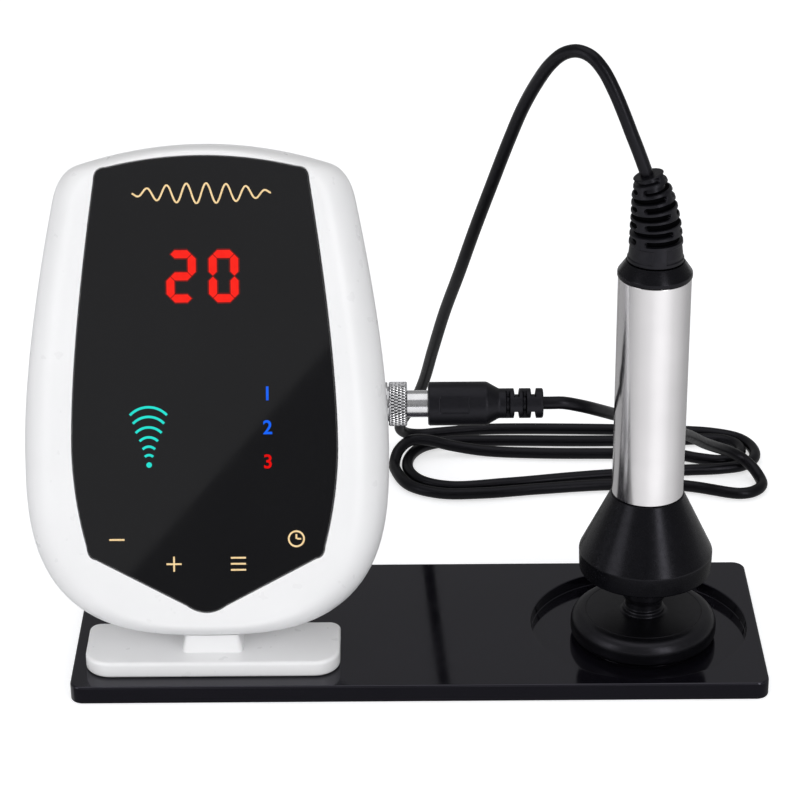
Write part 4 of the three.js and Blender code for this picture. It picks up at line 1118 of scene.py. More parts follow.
    def make_drape(self) -> None:
        """Hangs a ring of grey cloth round the set, so that black gloss stays black."""
        foot = circle(0, 0, self.drape_radius, self.drape_panels)
        top = self.drape_top
        corners = [((*a, 0), (*b, 0), (*b, top), (*a, top)) for a, b in zip(foot, [*foot[1:], foot[0]])]
        self.make_card("drape", corners, self.drape_tone)

    def disc(self, radius: float, height: float) -> list[Place]:
        """Gives a round card's corners, round the handset."""
        return [(x, y, height) for x, y in circle(*self.handset, radius, self.drape_panels)]

    def make_flags(self) -> None:
        """Sets the cards that shape the reflections in the window, the tray's edge and the tube."""
        self.make_card("window_flag", [self.window_flag], self.flag_tone)
        strip_height, apron_height, fan_height = self.card_heights
        strip = [(x, y, strip_height) for x, y, _ in rectangle(*self.apron_strip)]
        self.make_card("apron", [self.disc(self.apron_radius, apron_height), strip], self.apron_tone)
        self.make_card("fan", [self.disc(self.fan_radius, fan_height)], self.fan_white, self.fan_tones)

    def build(self) -> None:
        """Sets up the whole studio except its camera."""
        self.make_world()
        self.make_floor()
        for box in self.lamps:
            self.hang(box)
        self.make_drape()
        self.make_flags()


# Cables


@dataclass
class Cable:
    """The handset's cable: one sheath from the plug to the handle, in loose loops on the floor."""

    diameter: float = 4.5
    resting: float = 2.4  # height of its middle where it lies on the floor
    sides: int = 20
    crease: float = 60.0  # degrees
    pace: float = 1.3  # distance between the tube's rings
    plug_inside: Place = (42.6, 7.23, 89.8)
    boot_inside: Place = (76.5, -1.3, 176.9)
    lead_points: int = 6  # how many of the plug run's points belong to the piece at the plug
    # Where each stretch between two bodies starts to bend, and where it has; given to the stretch, which
    # doesn't bend
    lead_bend: tuple[Place, Place] = ((74, 0, 0), (50, 0, 0))
    drop_bend: tuple[Place, Place] = ((0, 0, 12), (0, 0, 62))
    arch_bend: tuple[Place, Place] = ((0, 0, 14), (0, 0, 172))
    plug_run: Run = (
        (43.8, 7.23, 89.8), (46.2, 7.23, 89.8), (50.5, 7.4, 89.7), (57, 10, 87.2), (64, 17, 82),
        (72, 29, 74), (81, 44, 64.5), (90, 61, 53.5), (98, 79, 42.5), (105.5, 97, 31.5),
        (112, 110.5, 22), (117.9, 119.4, 15.6), (123.4, 124.4, 11.3), (128.6, 125.2, 8.1),
        (132.9, 122.4, 5.2), (135.1, 118.7, 3.2), (135.7, 116.6, 2.6), (135.9, 114.6),
    )
    loop_run: Run = (
        (135.9, 114.6), (135.6, 112.4), (134.1, 109.3), (130.9, 106.5), (126.6, 105.4),
        (122.4, 106.2), (116.5, 108.5), (109, 111.3), (100, 113.2), (74, 113.4), (48, 110.4),
        (26, 107.2), (9.5, 107.4), (-2.5, 114.2), (-7.8, 127), (-8.4, 133, 2.6), (-6.6, 139, 5.4),
        (-2, 142.8, 7.7), (5, 144.7, 6.9), (14, 145.3, 4.2), (28, 143.8), (50, 141.4), (80, 140.6),
        (103, 139.8), (113.5, 135.8), (121.2, 134), (127.2, 136.2), (130.4, 141.7), (129.3, 148),
        (124.4, 152.1), (117, 153), (104, 152.4), (70, 152), (30, 153), (13, 152.4), (3, 147.8),
        (-2.4, 138.4), (-2.7, 126.8), (2.6, 117.6), (13.6, 112.9), (36, 115.4), (66, 120.6),
        (104, 125.4), (121, 126.8), (130.3, 129.6), (135.3, 136.2), (135.5, 144.6), (131.2, 153.1),
        (120.5, 158.4), (97, 161.2), (60, 163.2), (34, 163.6), (24.6, 163), (19.9, 162.3),
        (17.45, 161.9),
    )
    arch_run: Run = (
        (17.45, 161.9), (15, 161.45), (9, 160.3), (2.2, 158.9, 2.5), (-3.2, 156.7, 4.1),
        (-5.9, 153.6, 7.5), (-5.9, 150.4, 11.6), (-4.4, 147.1, 16.2), (-1.3, 141.9, 23.4),
        (3.1, 129, 40), (6.7, 110, 63), (10.9, 90, 88), (15.7, 72, 111), (21, 56.5, 135),
        (26.6, 43.5, 157.5), (31.8, 33.5, 177), (36.1, 26, 191.5), (40.2, 20, 202.2),
        (44.4, 15, 210.6), (48.7, 11, 215.8), (53.1, 7.5, 217.8), (57.4, 4.5, 216.8),
        (61.2, 2.2, 212.9), (64.8, 0.4, 206.4), (68.3, -0.7, 198.3), (70.8, -1.2, 191.9),
        (72.8, -1.3, 186.9), (74.2, -1.3, 183.2), (75.7, -1.3, 179.1),
    )

    def curve(self, points: Run) -> list[Vector]:
        """Runs a smooth curve through points and walks along it.

        Args:
            points: The points that it passes through.

        Returns:
            Points on the curve, a pace apart.
        """
        knots = [Vector((*point, self.resting)[:3]) for point in points]
        knots = [2 * knots[0] - knots[1], *knots, 2 * knots[-1] - knots[-2]]
        fine: list[Vector] = []
        for before, start, end, after in zip(knots, knots[1:], knots[2:], knots[3:]):
            gaps = [math.sqrt((b - a).length) for a, b in ((before, start), (start, end), (end, after))]
            leave = ((start - before) / gaps[0] - (end - before) / (gaps[0] + gaps[1])
                     + (end - start) / gaps[1]) * gaps[1]
            arrive = ((end - start) / gaps[1] - (after - start) / (gaps[1] + gaps[2])
                      + (after - end) / gaps[2]) * gaps[1]
            count = max(2, round((end - start).length / self.pace))
            for k in range(count):
                t = k / count
                fine.append(
                    start * (2 * t ** 3 - 3 * t ** 2 + 1) + leave * (t ** 3 - 2 * t ** 2 + t)
                    + end * (3 * t ** 2 - 2 * t ** 3) + arrive * (t ** 3 - t ** 2)
                )
        return [*fine, knots[-2]]

    def rings(self, path: Sequence[Vector]) -> list[list[Place]]:
        """Sets a round ring square to the path at each of its points."""
        side = Vector((0, 0, 1)).cross(path[1] - path[0]).normalized()
        result = []
        for i, middle in enumerate(path):
            way = (path[min(i + 1, len(path) - 1)] - path[max(i - 1, 0)]).normalized()
            side = (side - way * side.dot(way)).normalized()
            other = way.cross(side)
            section = circle(0, 0, self.diameter / 2, self.sides)
            result.append([tuple(middle + side * across + other * up) for across, up in section])
        return result

    def stretch(
        self,
        name: str,
        path: Sequence[Vector],
        rings: Sequence[Sequence[Place]],
        node: str,
        bodies: tuple[Body, ...],
        reach: tuple[Place, Place] | None = None,
    ) -> None:
        """Args:
            name: The stretch's name.
            path: Its middle line, from the end that comes first; not used.
            rings: A ring of points at each of the path's points.
            node: The CAD node that it replaces.
            bodies: The body it rides on; a stretch given two rides on neither.
            reach: Where the bend starts and ends; only whether it is given is read, and then the
                stretch's place is baked into its mesh.
        """
        rides_on = bodies[0] if len(bodies) == 1 else None
        made = piece(name, skinned(rings), PlasticisedPvc(), rides_on, (node,), crease=self.crease)
        if reach:
            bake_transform(made)

    def build(self) -> None:
        """Makes the cable's four stretches."""
        whole = self.curve((self.plug_inside, *self.plug_run))
        rings = self.rings(whole)
        meeting = Vector(self.plug_run[self.lead_points])
        turn = min(range(len(whole)), key=lambda i: (whole[i] - meeting).length)
        self.stretch("plug_lead", whole[:turn + 1], rings[:turn + 1], "cord_plug_run",
                     (Body.CONSOLE, Body.PLUG), self.lead_bend)
        self.stretch("drop_lead", whole[turn:], rings[turn:], "cord_plug_run",
                     (Body.TRAY, Body.CONSOLE), self.drop_bend)
        loops = self.curve(self.loop_run)
        self.stretch("floor_loops", loops, self.rings(loops), "cord_loops", (Body.TRAY,))
        arch = self.curve((*self.arch_run, self.boot_inside))
        self.stretch("handset_arch", arch, self.rings(arch), "cord_arch",
                     (Body.TRAY, Body.HANDLE), self.arch_bend)


# Tray


@dataclass
class Tray:
    """Glossy black display tray with a round well for the handset."""

    half_width: float = 120.6
    half_depth: float = 43.2
    height: float = 6.6
    corner_radius: float = 4.5
    ease: float = 0.7
    well_x: float = 78.4
    well_y: float = -1.3
    well_radius: float = 38.35
    well_floor: float = 2.2
    lip: float = 0.4
    pad_radius: float = 5.0
    pad_recess: float = 1.3
    pad_place: Flat = (108.0, 31.5)

    def build(self) -> None:
        """Makes the tray around its well and the recesses of its pads."""
        wide, deep = self.half_width, self.half_depth
        outline = rounded(rectangle(-wide, wide, -deep, deep, self.corner_radius), steps=10)
        well = Well(self.well_x, self.well_y, self.well_radius, self.well_floor, self.lip, segments=160)
        x, y = self.pad_place
        recesses = [
            Well(side * x, end * y, self.pad_radius + SEAT_GAP, self.pad_recess)
            for side in (-1, 1) for end in (-1, 1)
        ]
        plate = eased_plate(outline, 0, self.height, self.ease, (well,), recesses)
        piece("display_tray", plate, GlossBlackAcrylic(), Body.TRAY, ("tray",))


# Console


@dataclass
class Casing:
    """The console's white casing in two mouldings, on its leaning frame."""

    origin: Place = (-72.7, -38.0, 24.0)
    lean: float = 20.0  # degrees
    face_height: float = 167.7
    half_width: float = 62.7
    widest: float = 62.0
    lowest: float = -1.6
    lower_power: float = 2.88
    side_control: float = 95.0
    shoulder: Flat = (51.9, 148.0)
    shoulder_control: Flat = (49.8, 158.7)
    crown: Flat = (43.0, 160.8)
    front_depth: float = 13.0
    front_inset: Place = (14.9, 2.6, 5.0)  # at the sides, the top and the bottom
    rear_inset: Place = (18.0, 17.0, 22.0)
    rear_straight: float = 4.0
    rear_depth: float = 20.0
    wall: float = 2.2
    lower_steps: int = 26
    steps: int = 14  # of the swell from the face to the side

    def matrix(self) -> Matrix:
        """Gives the frame of the console: x across, y into it and z up its face."""
        return Matrix.Translation(self.origin) @ Matrix.Rotation(-math.radians(self.lean), 4, "X")

    @property
    def parting(self) -> float:
        """Depth at which the rear moulding starts."""
        return self.front_depth + SEAT_GAP

    @property
    def depth(self) -> float:
        """Depth of the console's flat back."""
        return self.parting + self.rear_straight + self.rear_depth

    def outline(self) -> list[Flat]:
        """Gives the outline of x and height, counterclockwise from its lowest point."""
        half = []
        for i in range(self.lower_steps):
            turn = math.pi / 2 * i / self.lower_steps
            across = math.sin(turn) ** (2 / self.lower_power)
            down = math.cos(turn) ** (2 / self.lower_power)
            height = self.lowest + (self.widest - self.lowest) * (1 - down)
            half.append((self.half_width * across, height))
        side = (self.half_width, self.widest)
        half.append(side)
        half += bezier(side, (self.half_width, self.side_control), self.shoulder, steps=18)
        half += bezier(self.shoulder, self.shoulder_control, self.crown, steps=8)
        x, z = self.crown
        top = bezier(self.crown, (0, 2 * self.face_height - z), (-x, z), steps=26)[:-1]
        return [*half, *top, *((-x, z) for x, z in reversed(half[1:]))]

    def level(self, depth: float, side: float, top: float, bottom: float) -> list[Place]:
        """Gives the outline at a depth, drawn in at its sides, top and bottom."""
        across = (self.half_width - side) / self.half_width
        up = (self.face_height - top - bottom) / self.face_height
        return [(x * across, depth, bottom + z * up) for x, z in self.outline()]

    def front_form(self, shrink: float, face: float, back: float, ease: float = 0.0) -> Mesh:
        """Makes the front half's form.

        Args:
            shrink: How much smaller than the outside it is.
            face: Depth of its flat face.
            back: Depth of its open side.
            ease: How much its rear edge is eased.

        Returns:
            The closed mesh.
        """
        levels = []
        for deep, inward in quarter_round(self.steps):
            insets = (shrink + inset * inward for inset in self.front_inset)
            levels.append(self.level(face + (self.front_depth - ease - face) * deep, *insets))
        levels.append(self.level(max(back, self.front_depth), *[shrink + ease] * 3))
        return skinned(levels)

    def rear_form(self, shrink: float, start: float, ease: float = 0.0) -> Mesh:
        """Makes the rear half's form, from a depth to the back."""
        levels = [self.level(start, *[shrink + ease] * 3)]
        if ease:
            levels.append(self.level(start + ease, *[shrink] * 3))
        for inward, short in quarter_round(self.steps):
            insets = (shrink + inset * inward for inset in self.rear_inset)
            depth = self.parting + self.rear_straight + (self.rear_depth - shrink) * (1 - short)
            levels.append(self.level(depth, *insets))
        return skinned(levels)


@dataclass
class Foot:
    """White T-shaped foot that carries the console on its neck."""

    casing: Casing
    plan: tuple[Corner, ...] = (
        (-115.85, -37.2, 9), (-27.55, -37.2, 9), (-27.55, -8.85, 4), (-49.7, -8.85, 3), (-49.7, 30, 4),
        (-93.7, 30, 4), (-93.7, -8.85, 3), (-115.85, -8.85, 4),
    )
    bottom: float = 6.65
    top: float = 12.5
    ease: float = 1.2
    pad_recess: float = 7.9
    pad_radius: float = 5.3
    pad_places: tuple[Flat, ...] = ((-106.85, -23.025), (-36.55, -23.025), (-82.7, 22.0), (-60.7, 22.0))
    neck_radius: float = 2.0
    neck_x: float = -71.7
    neck_half: Flat = (10.7, 7.8)  # at its foot and at its top
    neck_front: Flat = (-30.2, -29.0)
    neck_back: float = -7.0
    neck_top: float = 24.5
    insert_low: Place = (-7.5, 18.0, -5.0)
    insert_high: Place = (7.5, 27.0, 14.0)

    def build(self) -> None:
        """Makes the foot with its neck, which stops under the casing."""
        recesses = [Well(x, y, self.pad_radius, self.pad_recess) for x, y in self.pad_places]
        outline = rounded(self.plan, steps=10)
        plate = eased_plate(outline, self.bottom, self.top, self.ease, (), recesses)
        levels = []
        low = self.top - self.ease / 2
        for z, half, front in zip((low, self.neck_top), self.neck_half, self.neck_front):
            left, right = self.neck_x - half, self.neck_x + half
            corners = rectangle(left, right, front, self.neck_back, self.neck_radius)
            levels.append([(x, y, z) for x, y in rounded(corners)])
        neck = skinned(levels)
        insert = box(self.insert_low, self.insert_high)
        insert.transform(self.casing.matrix())
        forms = [self.casing.front_form(-SEAT_GAP, -SEAT_GAP, self.casing.parting + SEAT_GAP),
                 self.casing.rear_form(-SEAT_GAP, self.casing.parting)]
        for form in forms:
            form.transform(self.casing.matrix())
        trimmed = worked(neck, [(Operation.CUT, form) for form in forms])
        whole = worked(plate, [(Operation.JOIN, trimmed), (Operation.JOIN, insert)])
        piece("console_foot", whole, GlossWhiteAbs(), Body.CONSOLE, ("stand_foot",))


@dataclass
class Window:
    """Black one-piece front window with its lit display, its symbols and its printed key marks."""

    casing: Casing
    thickness: float = 1.6
    ease: float = 0.35
    tip: Flat = (7.0, 8.1)
    tip_rise: float = 2.6
    corner: Flat = (37.6, 26.6)
    hip: Flat = (40.6, 31.0)
    bulge: float = 0.3
    widest: Flat = (45.2, 64.0)
    side_control: float = 97.0
    shoulder: Flat = (36.3, 155.5)
    crown: Flat = (32.0, 160.1)
    top: float = 163.9
    print_gap: float = 0.02
    print_height: float = 0.03
    digit_left: float = -12.2
    digit_bottom: float = 114.4
    digit_size: Flat = (10.0, 17.7)
    digit_pitch: float = 14.4
    bar: float = 2.7
    bar_gap: float = 0.16
    bar_ends: tuple[tuple[tuple[int, int], ...], ...] = (
        ((0, 2), (1, 2)), ((1, 2), (1, 1)), ((1, 1), (1, 0)), ((0, 0), (1, 0)), ((0, 1), (0, 0)),
        ((0, 2), (0, 1)), ((0, 1), (1, 1)),
    )  # column and row of the ends of each bar, from a to g
    halo: float = 0.5
    symbol_x: float = -19.0
    symbol_bottom: float = 59.0
    arc_rises: tuple[float, ...] = (3.4, 6.3, 9.5, 12.9, 16.5, 19.8)
    arc_halves: tuple[float, ...] = (1.4, 2.1, 3.1, 4.4, 5.3, 6.3)
    arc_ratio: float = 1.37  # radius over half width
    arc_bar: float = 0.85
    dot_radius: float = 0.95
    zone_x: float = 21.5
    zone_heights: tuple[float, ...] = (83.0, 71.4, 59.7)
    numeral_size: float = 6.67  # of its font, for numerals 4.6 mm tall
    numeral_swell: float = 0.11  # by which its strokes are bolder
    key_heights: tuple[float, ...] = (33.3, 24.8, 24.8, 33.3)
    key_places: tuple[float, ...] = (-30.4, -11.0, 11.0, 30.9)
    key_half: float = 2.6
    key_bar: float = 0.62
    mode_share: float = 0.8  # distance between the mode's bars, as a share of half their length
    hand_share: float = 0.62  # length of the timer's hands, as a share of its radius
    wave_height: float = 151.3
    wave_half: float = 23.5
    wave_swing: float = 3.4
    wave_turns: float = 7.0
    wave_taper: float = 0.6  # power by which it swells from its ends
    wave_points: int = 160
    wave_bar: float = 0.62

    def outline(self, grow: float = 0.0) -> list[Flat]:
        """Gives the window's outline of x and height, counterclockwise.

        Args:
            grow: How much larger it is all round.

        Returns:
            The points.
        """
        tall = self.top - self.tip[1]
        across = (self.widest[0] + grow) / self.widest[0]
        up = (tall + 2 * grow) / tall
        tip = (self.tip[0], self.tip[1] + self.tip_rise)
        half = [tip, self.corner]
        bend = (self.hip[0] - self.bulge, self.corner[1] + self.bulge)
        half += bezier(self.corner, bend, self.hip, steps=8)
        flank = (self.widest[0] - self.bulge, (self.hip[1] + self.widest[1]) / 2)
        half += bezier(self.hip, flank, self.widest, steps=10)
        half += bezier(self.widest, (self.widest[0], self.side_control), self.shoulder, steps=18)
        x, z = self.crown
        half += bezier(self.shoulder, (self.shoulder[0], z), self.crown, steps=8)
        crown = bezier(self.crown, (0, 2 * self.top - z), (-x, z), steps=24)[:-1]
        mirrored = [(-x, z) for x, z in reversed(half)]
        base = self.tip[1]
        low = bezier(mirrored[-1], (0, base - self.tip_rise), tip, steps=12)[:-1]
        points = [*half, *crown, *mirrored, *low]
        return [(x * across, base - grow + (z - base) * up) for x, z in points]

    def pane(self) -> Mesh:
        """Makes the pane, with its front edge eased."""
        outline = self.outline()
        rings = [[(x, self.thickness, z) for x, z in outline]]
        for inward, deep in quarter_round(5):
            rings.append([(x, self.ease * deep, z) for x, z in drawn_in(outline, self.ease * inward)])
        rings.append([(x, 0, z) for x, z in drawn_in(outline, self.ease + LEVEL_RING)])
        return skinned(rings)

    def printed(self, shapes: Sequence[Sequence[Flat]], lift: float = 0.0) -> Mesh:
        """Makes thin prints on the window from outlines of x and height."""
        near = -self.print_gap - self.print_height - lift
        return merged([prism(shape, near, -self.print_gap) for shape in shapes])

    def bar_between(self, start: Flat, end: Flat, width: float, tip: float) -> list[Flat]:
        """Gives a bar with pointed ends between two points."""
        a, b = Vector(start), Vector(end)
        along = (b - a).normalized()
        across = Vector((-along.y, along.x)) * (width / 2)
        inner, outer = a + along * tip, b - along * tip
        return [tuple(p) for p in (a, inner - across, outer - across, b, outer + across, inner + across)]

    def digit(self, left: float, lit: str, grow: float) -> list[list[Flat]]:
        """Gives the lit bars of a seven-segment digit.

        Args:
            left: Its left side.
            lit: The letters of its lit bars, from a at the top round to g in the middle.
            grow: How much wider than the bars the shapes are.

        Returns:
            An outline for each lit bar.
        """
        width, tall = self.digit_size
        inset = self.bar / 2
        xs = (left + inset, left + width - inset)
        zs = (self.digit_bottom + inset, self.digit_bottom + tall / 2, self.digit_bottom + tall - inset)
        shapes = []
        for letter in lit:
            ends = self.bar_ends["abcdefg".index(letter)]
            a, b = (Vector((xs[column], zs[row])) for column, row in ends)
            along = (b - a).normalized() * (self.bar_gap - grow)
            shapes.append(self.bar_between(tuple(a + along), tuple(b - along), self.bar + 2 * grow,
                                           self.bar / 2 + grow))
        return shapes

    def arc(self, middle: Flat, radius: float, start: float, sweep: float, width: float) -> list[Flat]:
        """Gives a curved bar round a middle, from an angle on."""
        steps = 20
        turns = [start + sweep * k / steps for k in range(steps + 1)]
        x, z = middle
        sides = []
        for far, order in ((radius + width / 2, turns), (radius - width / 2, turns[::-1])):
            sides += [(x + far * math.cos(a), z + far * math.sin(a)) for a in order]
        return sides

    def line(self, points: Sequence[Flat], width: float) -> list[Flat]:
        """Gives a bar of even width along a line."""
        near, far = [], []
        for i, point in enumerate(points):
            way = Vector(points[min(i + 1, len(points) - 1)]) - Vector(points[max(i - 1, 0)])
            across = Vector((-way.y, way.x)).normalized() * (width / 2)
            near.append(tuple(Vector(point) + across))
            far.append(tuple(Vector(point) - across))
        return [*near, *reversed(far)]

    def numeral(self, text: str, x: float, z: float) -> Mesh:
        """Makes a printed numeral, centred on a point."""
        data = bpy.data.curves.new("numeral", "FONT")
        data.body = text
        data.align_x = "CENTER"
        data.align_y = "CENTER"
        data.size = self.numeral_size
        data.offset = self.numeral_swell
        data.extrude = self.print_height / 2
        thing = bpy.data.objects.new("numeral", data)
        bpy.context.collection.objects.link(thing)
        depsgraph = bpy.context.evaluated_depsgraph_get()
        flat = bpy.data.meshes.new_from_object(thing.evaluated_get(depsgraph))
        mesh = bmesh.new()
        mesh.from_mesh(flat)
        bpy.data.meshes.remove(flat)
        bpy.data.curves.remove(data)
        bmesh.ops.remove_doubles(mesh, verts=mesh.verts, dist=TINY)
        mid = -self.print_gap - self.print_height / 2
        mesh.transform(Matrix.Translation((x, mid, z)) @ Matrix.Rotation(math.pi / 2, 4, "X"))
        return mesh

    def key_marks(self) -> list[list[Flat]]:
        """Gives generic marks for the four keys: less, more, mode and timer."""
        half, edge = self.key_half, self.key_bar / 2
        hand, pitch = half * self.hand_share, half * self.mode_share
        strokes = (  # of each key, from its middle
            [(-half, 0, half, 0)],
            [(-half, 0, -edge, 0), (edge, 0, half, 0), (0, -half, 0, half)],
            [(-half, z, half, z) for z in (-pitch, 0, pitch)],
            [(0, 0, 0, hand), (edge, 0, hand, 0)],
        )
        shapes = []
        for x, z, key in zip(self.key_places, self.key_heights, strokes):
            shapes += [self.line([(x + a, z + b), (x + c, z + d)], self.key_bar) for a, b, c, d in key]
        timer = (self.key_places[-1], self.key_heights[-1])
        shapes[-2:-2] = [self.arc(timer, half, start, math.pi, self.key_bar) for start in (0, math.pi)]
        return shapes

    def build(self) -> None:
        """Makes the pane and everything that shows on it."""
        at = self.casing.matrix()
        piece("front_window", self.pane(), SmokedPolycarbonate(), Body.CONSOLE, ("touch_panel",), at)
        second = self.digit_left + self.digit_pitch
        for name, finish, grow, lift in (("display_glow", RedHalo(), self.halo, 0.0),
                                         ("display_digits", RedSegments(), 0.0, self.print_height)):
            shapes = self.digit(self.digit_left, "abged", grow) + self.digit(second, "abcdef", grow)
            piece(name, self.printed(shapes, lift), finish, Body.CONSOLE, placed=at)
        arcs = []
        for rise, half in zip(self.arc_rises, self.arc_halves):
            radius = half * self.arc_ratio
            opening = math.asin(1 / self.arc_ratio)
            middle = (self.symbol_x, self.symbol_bottom + rise - radius)
            arcs.append(self.arc(middle, radius, math.pi / 2 - opening, 2 * opening, self.arc_bar))
        dot = circle(self.symbol_x, self.symbol_bottom, self.dot_radius, 24)
        piece("power_symbol", self.printed([*arcs, dot]), CyanSymbol(), Body.CONSOLE, placed=at)
        zones = zip(self.zone_heights, (BlueNumeral(), BlueNumeral(), RedNumeral()))
        for number, (height, finish) in enumerate(zones, 1):
            mesh = self.numeral(str(number), self.zone_x, height)
            piece(f"zone_{number}", mesh, finish, Body.CONSOLE, placed=at)
        piece("key_marks", self.printed(self.key_marks()), GoldInk(), Body.CONSOLE, placed=at)
        wave = []
        for k in range(self.wave_points + 1):
            share = 2 * k / self.wave_points - 1
            swell = math.cos(share * math.pi / 2) ** self.wave_taper if abs(share) < 1 else 0.0
            swing = self.wave_swing * swell * math.sin(math.pi * self.wave_turns * share)
            wave.append((share * self.wave_half, self.wave_height + swing))
        mark = self.printed([self.line(wave, self.wave_bar)])
        piece("wave_mark", mark, GoldInk(), Body.CONSOLE, placed=at)


@dataclass
class Covers:
    """The two white mouldings with their openings."""

    casing: Casing
    window: Window
    ledge: float = 1.8
    display: Flat = (0.0, 123.3)
    display_size: Flat = (34.6, 22.6)
    guides: Flat = (-19.0, 21.5)
    guide_size: Flat = (24.6, 30.6)
    guide_height: float = 71.0
    key_hole: float = 5.5
    screw_places: tuple[Flat, ...] = ((-50, 40), (50, 40), (-43.5, 136), (43.5, 136))
    boss: float = 4.0
    counterbore: float = 25.0
    head_hole: float = 3.1
    shank_hole: float = 1.7
    stand_screw_height: float = 9.0
    stand_boss: Flat = (27.3, 33.0)  # start and end
    stand_hole: float = 18.0
    stand_floor: float = 29.5
    insert_low: Place = (-7.8, 17.7, -5.0)
    insert_high: Place = (7.8, 27.3, 7.0)
    back_hole: float = 4.0  # how far in the holes of the back are cut
    inlet: Flat = (24.0, 42.0)
    inlet_hole: float = 5.7
    switch: Flat = (-22.0, 42.0)
    switch_half: Flat = (6.8, 9.8)
    vent_count: int = 5
    vent_pitch: float = 5.0
    vent_half: float = 18.0
    vent_tall: float = 1.8
    vent_height: float = 112.0
    vent_round: float = 0.98  # radius of its ends as a share of half its height
    socket_height: float = 77.3
    socket_depth: float = 20.0
    spot: Place = (7.9, 60.1, 69.1)  # radius, start and end of the cut round the collar
    bushing_hole: Flat = (6.4, 50.0)  # radius and start

    def socket_form(self, radius: float, start: float, end: float) -> Mesh:
        """Makes a cylinder along x at the connector's place."""
        mesh = revolved([(0, start), (radius, start), (radius, end), (0, end)], segments=64)
        place = Matrix.Translation((0, self.socket_depth, self.socket_height))
        mesh.transform(place @ Matrix.Rotation(math.pi / 2, 4, "Y"))
        return mesh

    def front(self) -> None:
        """Makes the front moulding around the window."""
        casing = self.casing
        recess = self.window.thickness + SEAT_GAP
        back = recess + self.ledge
        cuts = [
            casing.front_form(casing.wall, back, casing.front_depth + OVERCUT),
            prism(self.window.outline(SEAT_GAP), -OVERCUT, recess),
            self.socket_form(*self.spot),
        ]
        openings = [(*self.display, *self.display_size)]
        openings += [(x, self.guide_height, *self.guide_size) for x in self.guides]
        near, far = recess / 2, back + OVERCUT
        for x, z, width, tall in openings:
            cuts.append(box((x - width / 2, near, z - tall / 2), (x + width / 2, far, z + tall / 2)))
        for x, z in zip(self.window.key_places, self.window.key_heights):
            cuts.append(cylinder(self.key_hole, near, far, x, z))
        form = casing.front_form(0, 0, casing.front_depth, PARTING)
        shell = worked(form, [(Operation.CUT, cut) for cut in cuts])
        piece("front_cover", shell, GlossWhiteAbs(), Body.CONSOLE, ("front_shell",), casing.matrix())

    def vents(self) -> list[Mesh]:
        """Makes the cutters of the vent slots, with round ends."""
        cutters = []
        half, depth = self.vent_tall / 2, self.casing.depth
        for i in range(self.vent_count):
            z = self.vent_height + (i - (self.vent_count - 1) / 2) * self.vent_pitch
            slot = rectangle(-self.vent_half, self.vent_half, z - half, z + half, half * self.vent_round)
            cutters.append(prism(rounded(slot, steps=8), depth - self.back_hole, depth + 2 * OVERCUT))
        return cutters

    def rear(self) -> None:
        """Makes the rear moulding with its bosses, vents and openings."""
        casing = self.casing
        past = casing.depth + OVERCUT
        before = casing.parting - OVERCUT
        inside = casing.depth - self.back_hole
        stand = (0, self.stand_screw_height)
        bosses = [cylinder(self.boss, casing.parting, casing.depth, x, z) for x, z in self.screw_places]
        bosses.append(cylinder(self.boss, *self.stand_boss, *stand))
        form = casing.rear_form(0, casing.parting, PARTING)
        kept = worked(form, [(Operation.KEEP_SHARED, merged(bosses))])
        cuts = [cylinder(self.head_hole, self.counterbore, past, x, z) for x, z in self.screw_places]
        cuts += [cylinder(self.shank_hole, before, past, x, z) for x, z in self.screw_places]
        x, z = self.switch
        wide, tall = self.switch_half
        cuts += [
            cylinder(self.shank_hole, self.stand_hole, past, *stand),
            cylinder(self.head_hole, self.stand_floor, past, *stand),
            box(self.insert_low, self.insert_high),
            cylinder(self.inlet_hole, inside, past, *self.inlet),
            box((x - wide, inside, z - tall), (x + wide, past, z + tall)),
            *self.vents(),
            self.socket_form(*self.bushing_hole, self.spot[-1]),
            self.socket_form(*self.spot),
        ]
        tools = [(Operation.CUT, casing.rear_form(casing.wall, before)), (Operation.JOIN, kept)]
        tools += [(Operation.CUT, cut) for cut in cuts]
        shell = worked(casing.rear_form(0, casing.parting, PARTING), tools)
        piece("rear_cover", shell, GlossWhiteAbs(), Body.CONSOLE, ("rear_shell",), casing.matrix())

    def build(self) -> None:
        """Makes both mouldings."""
        self.front()
        self.rear()


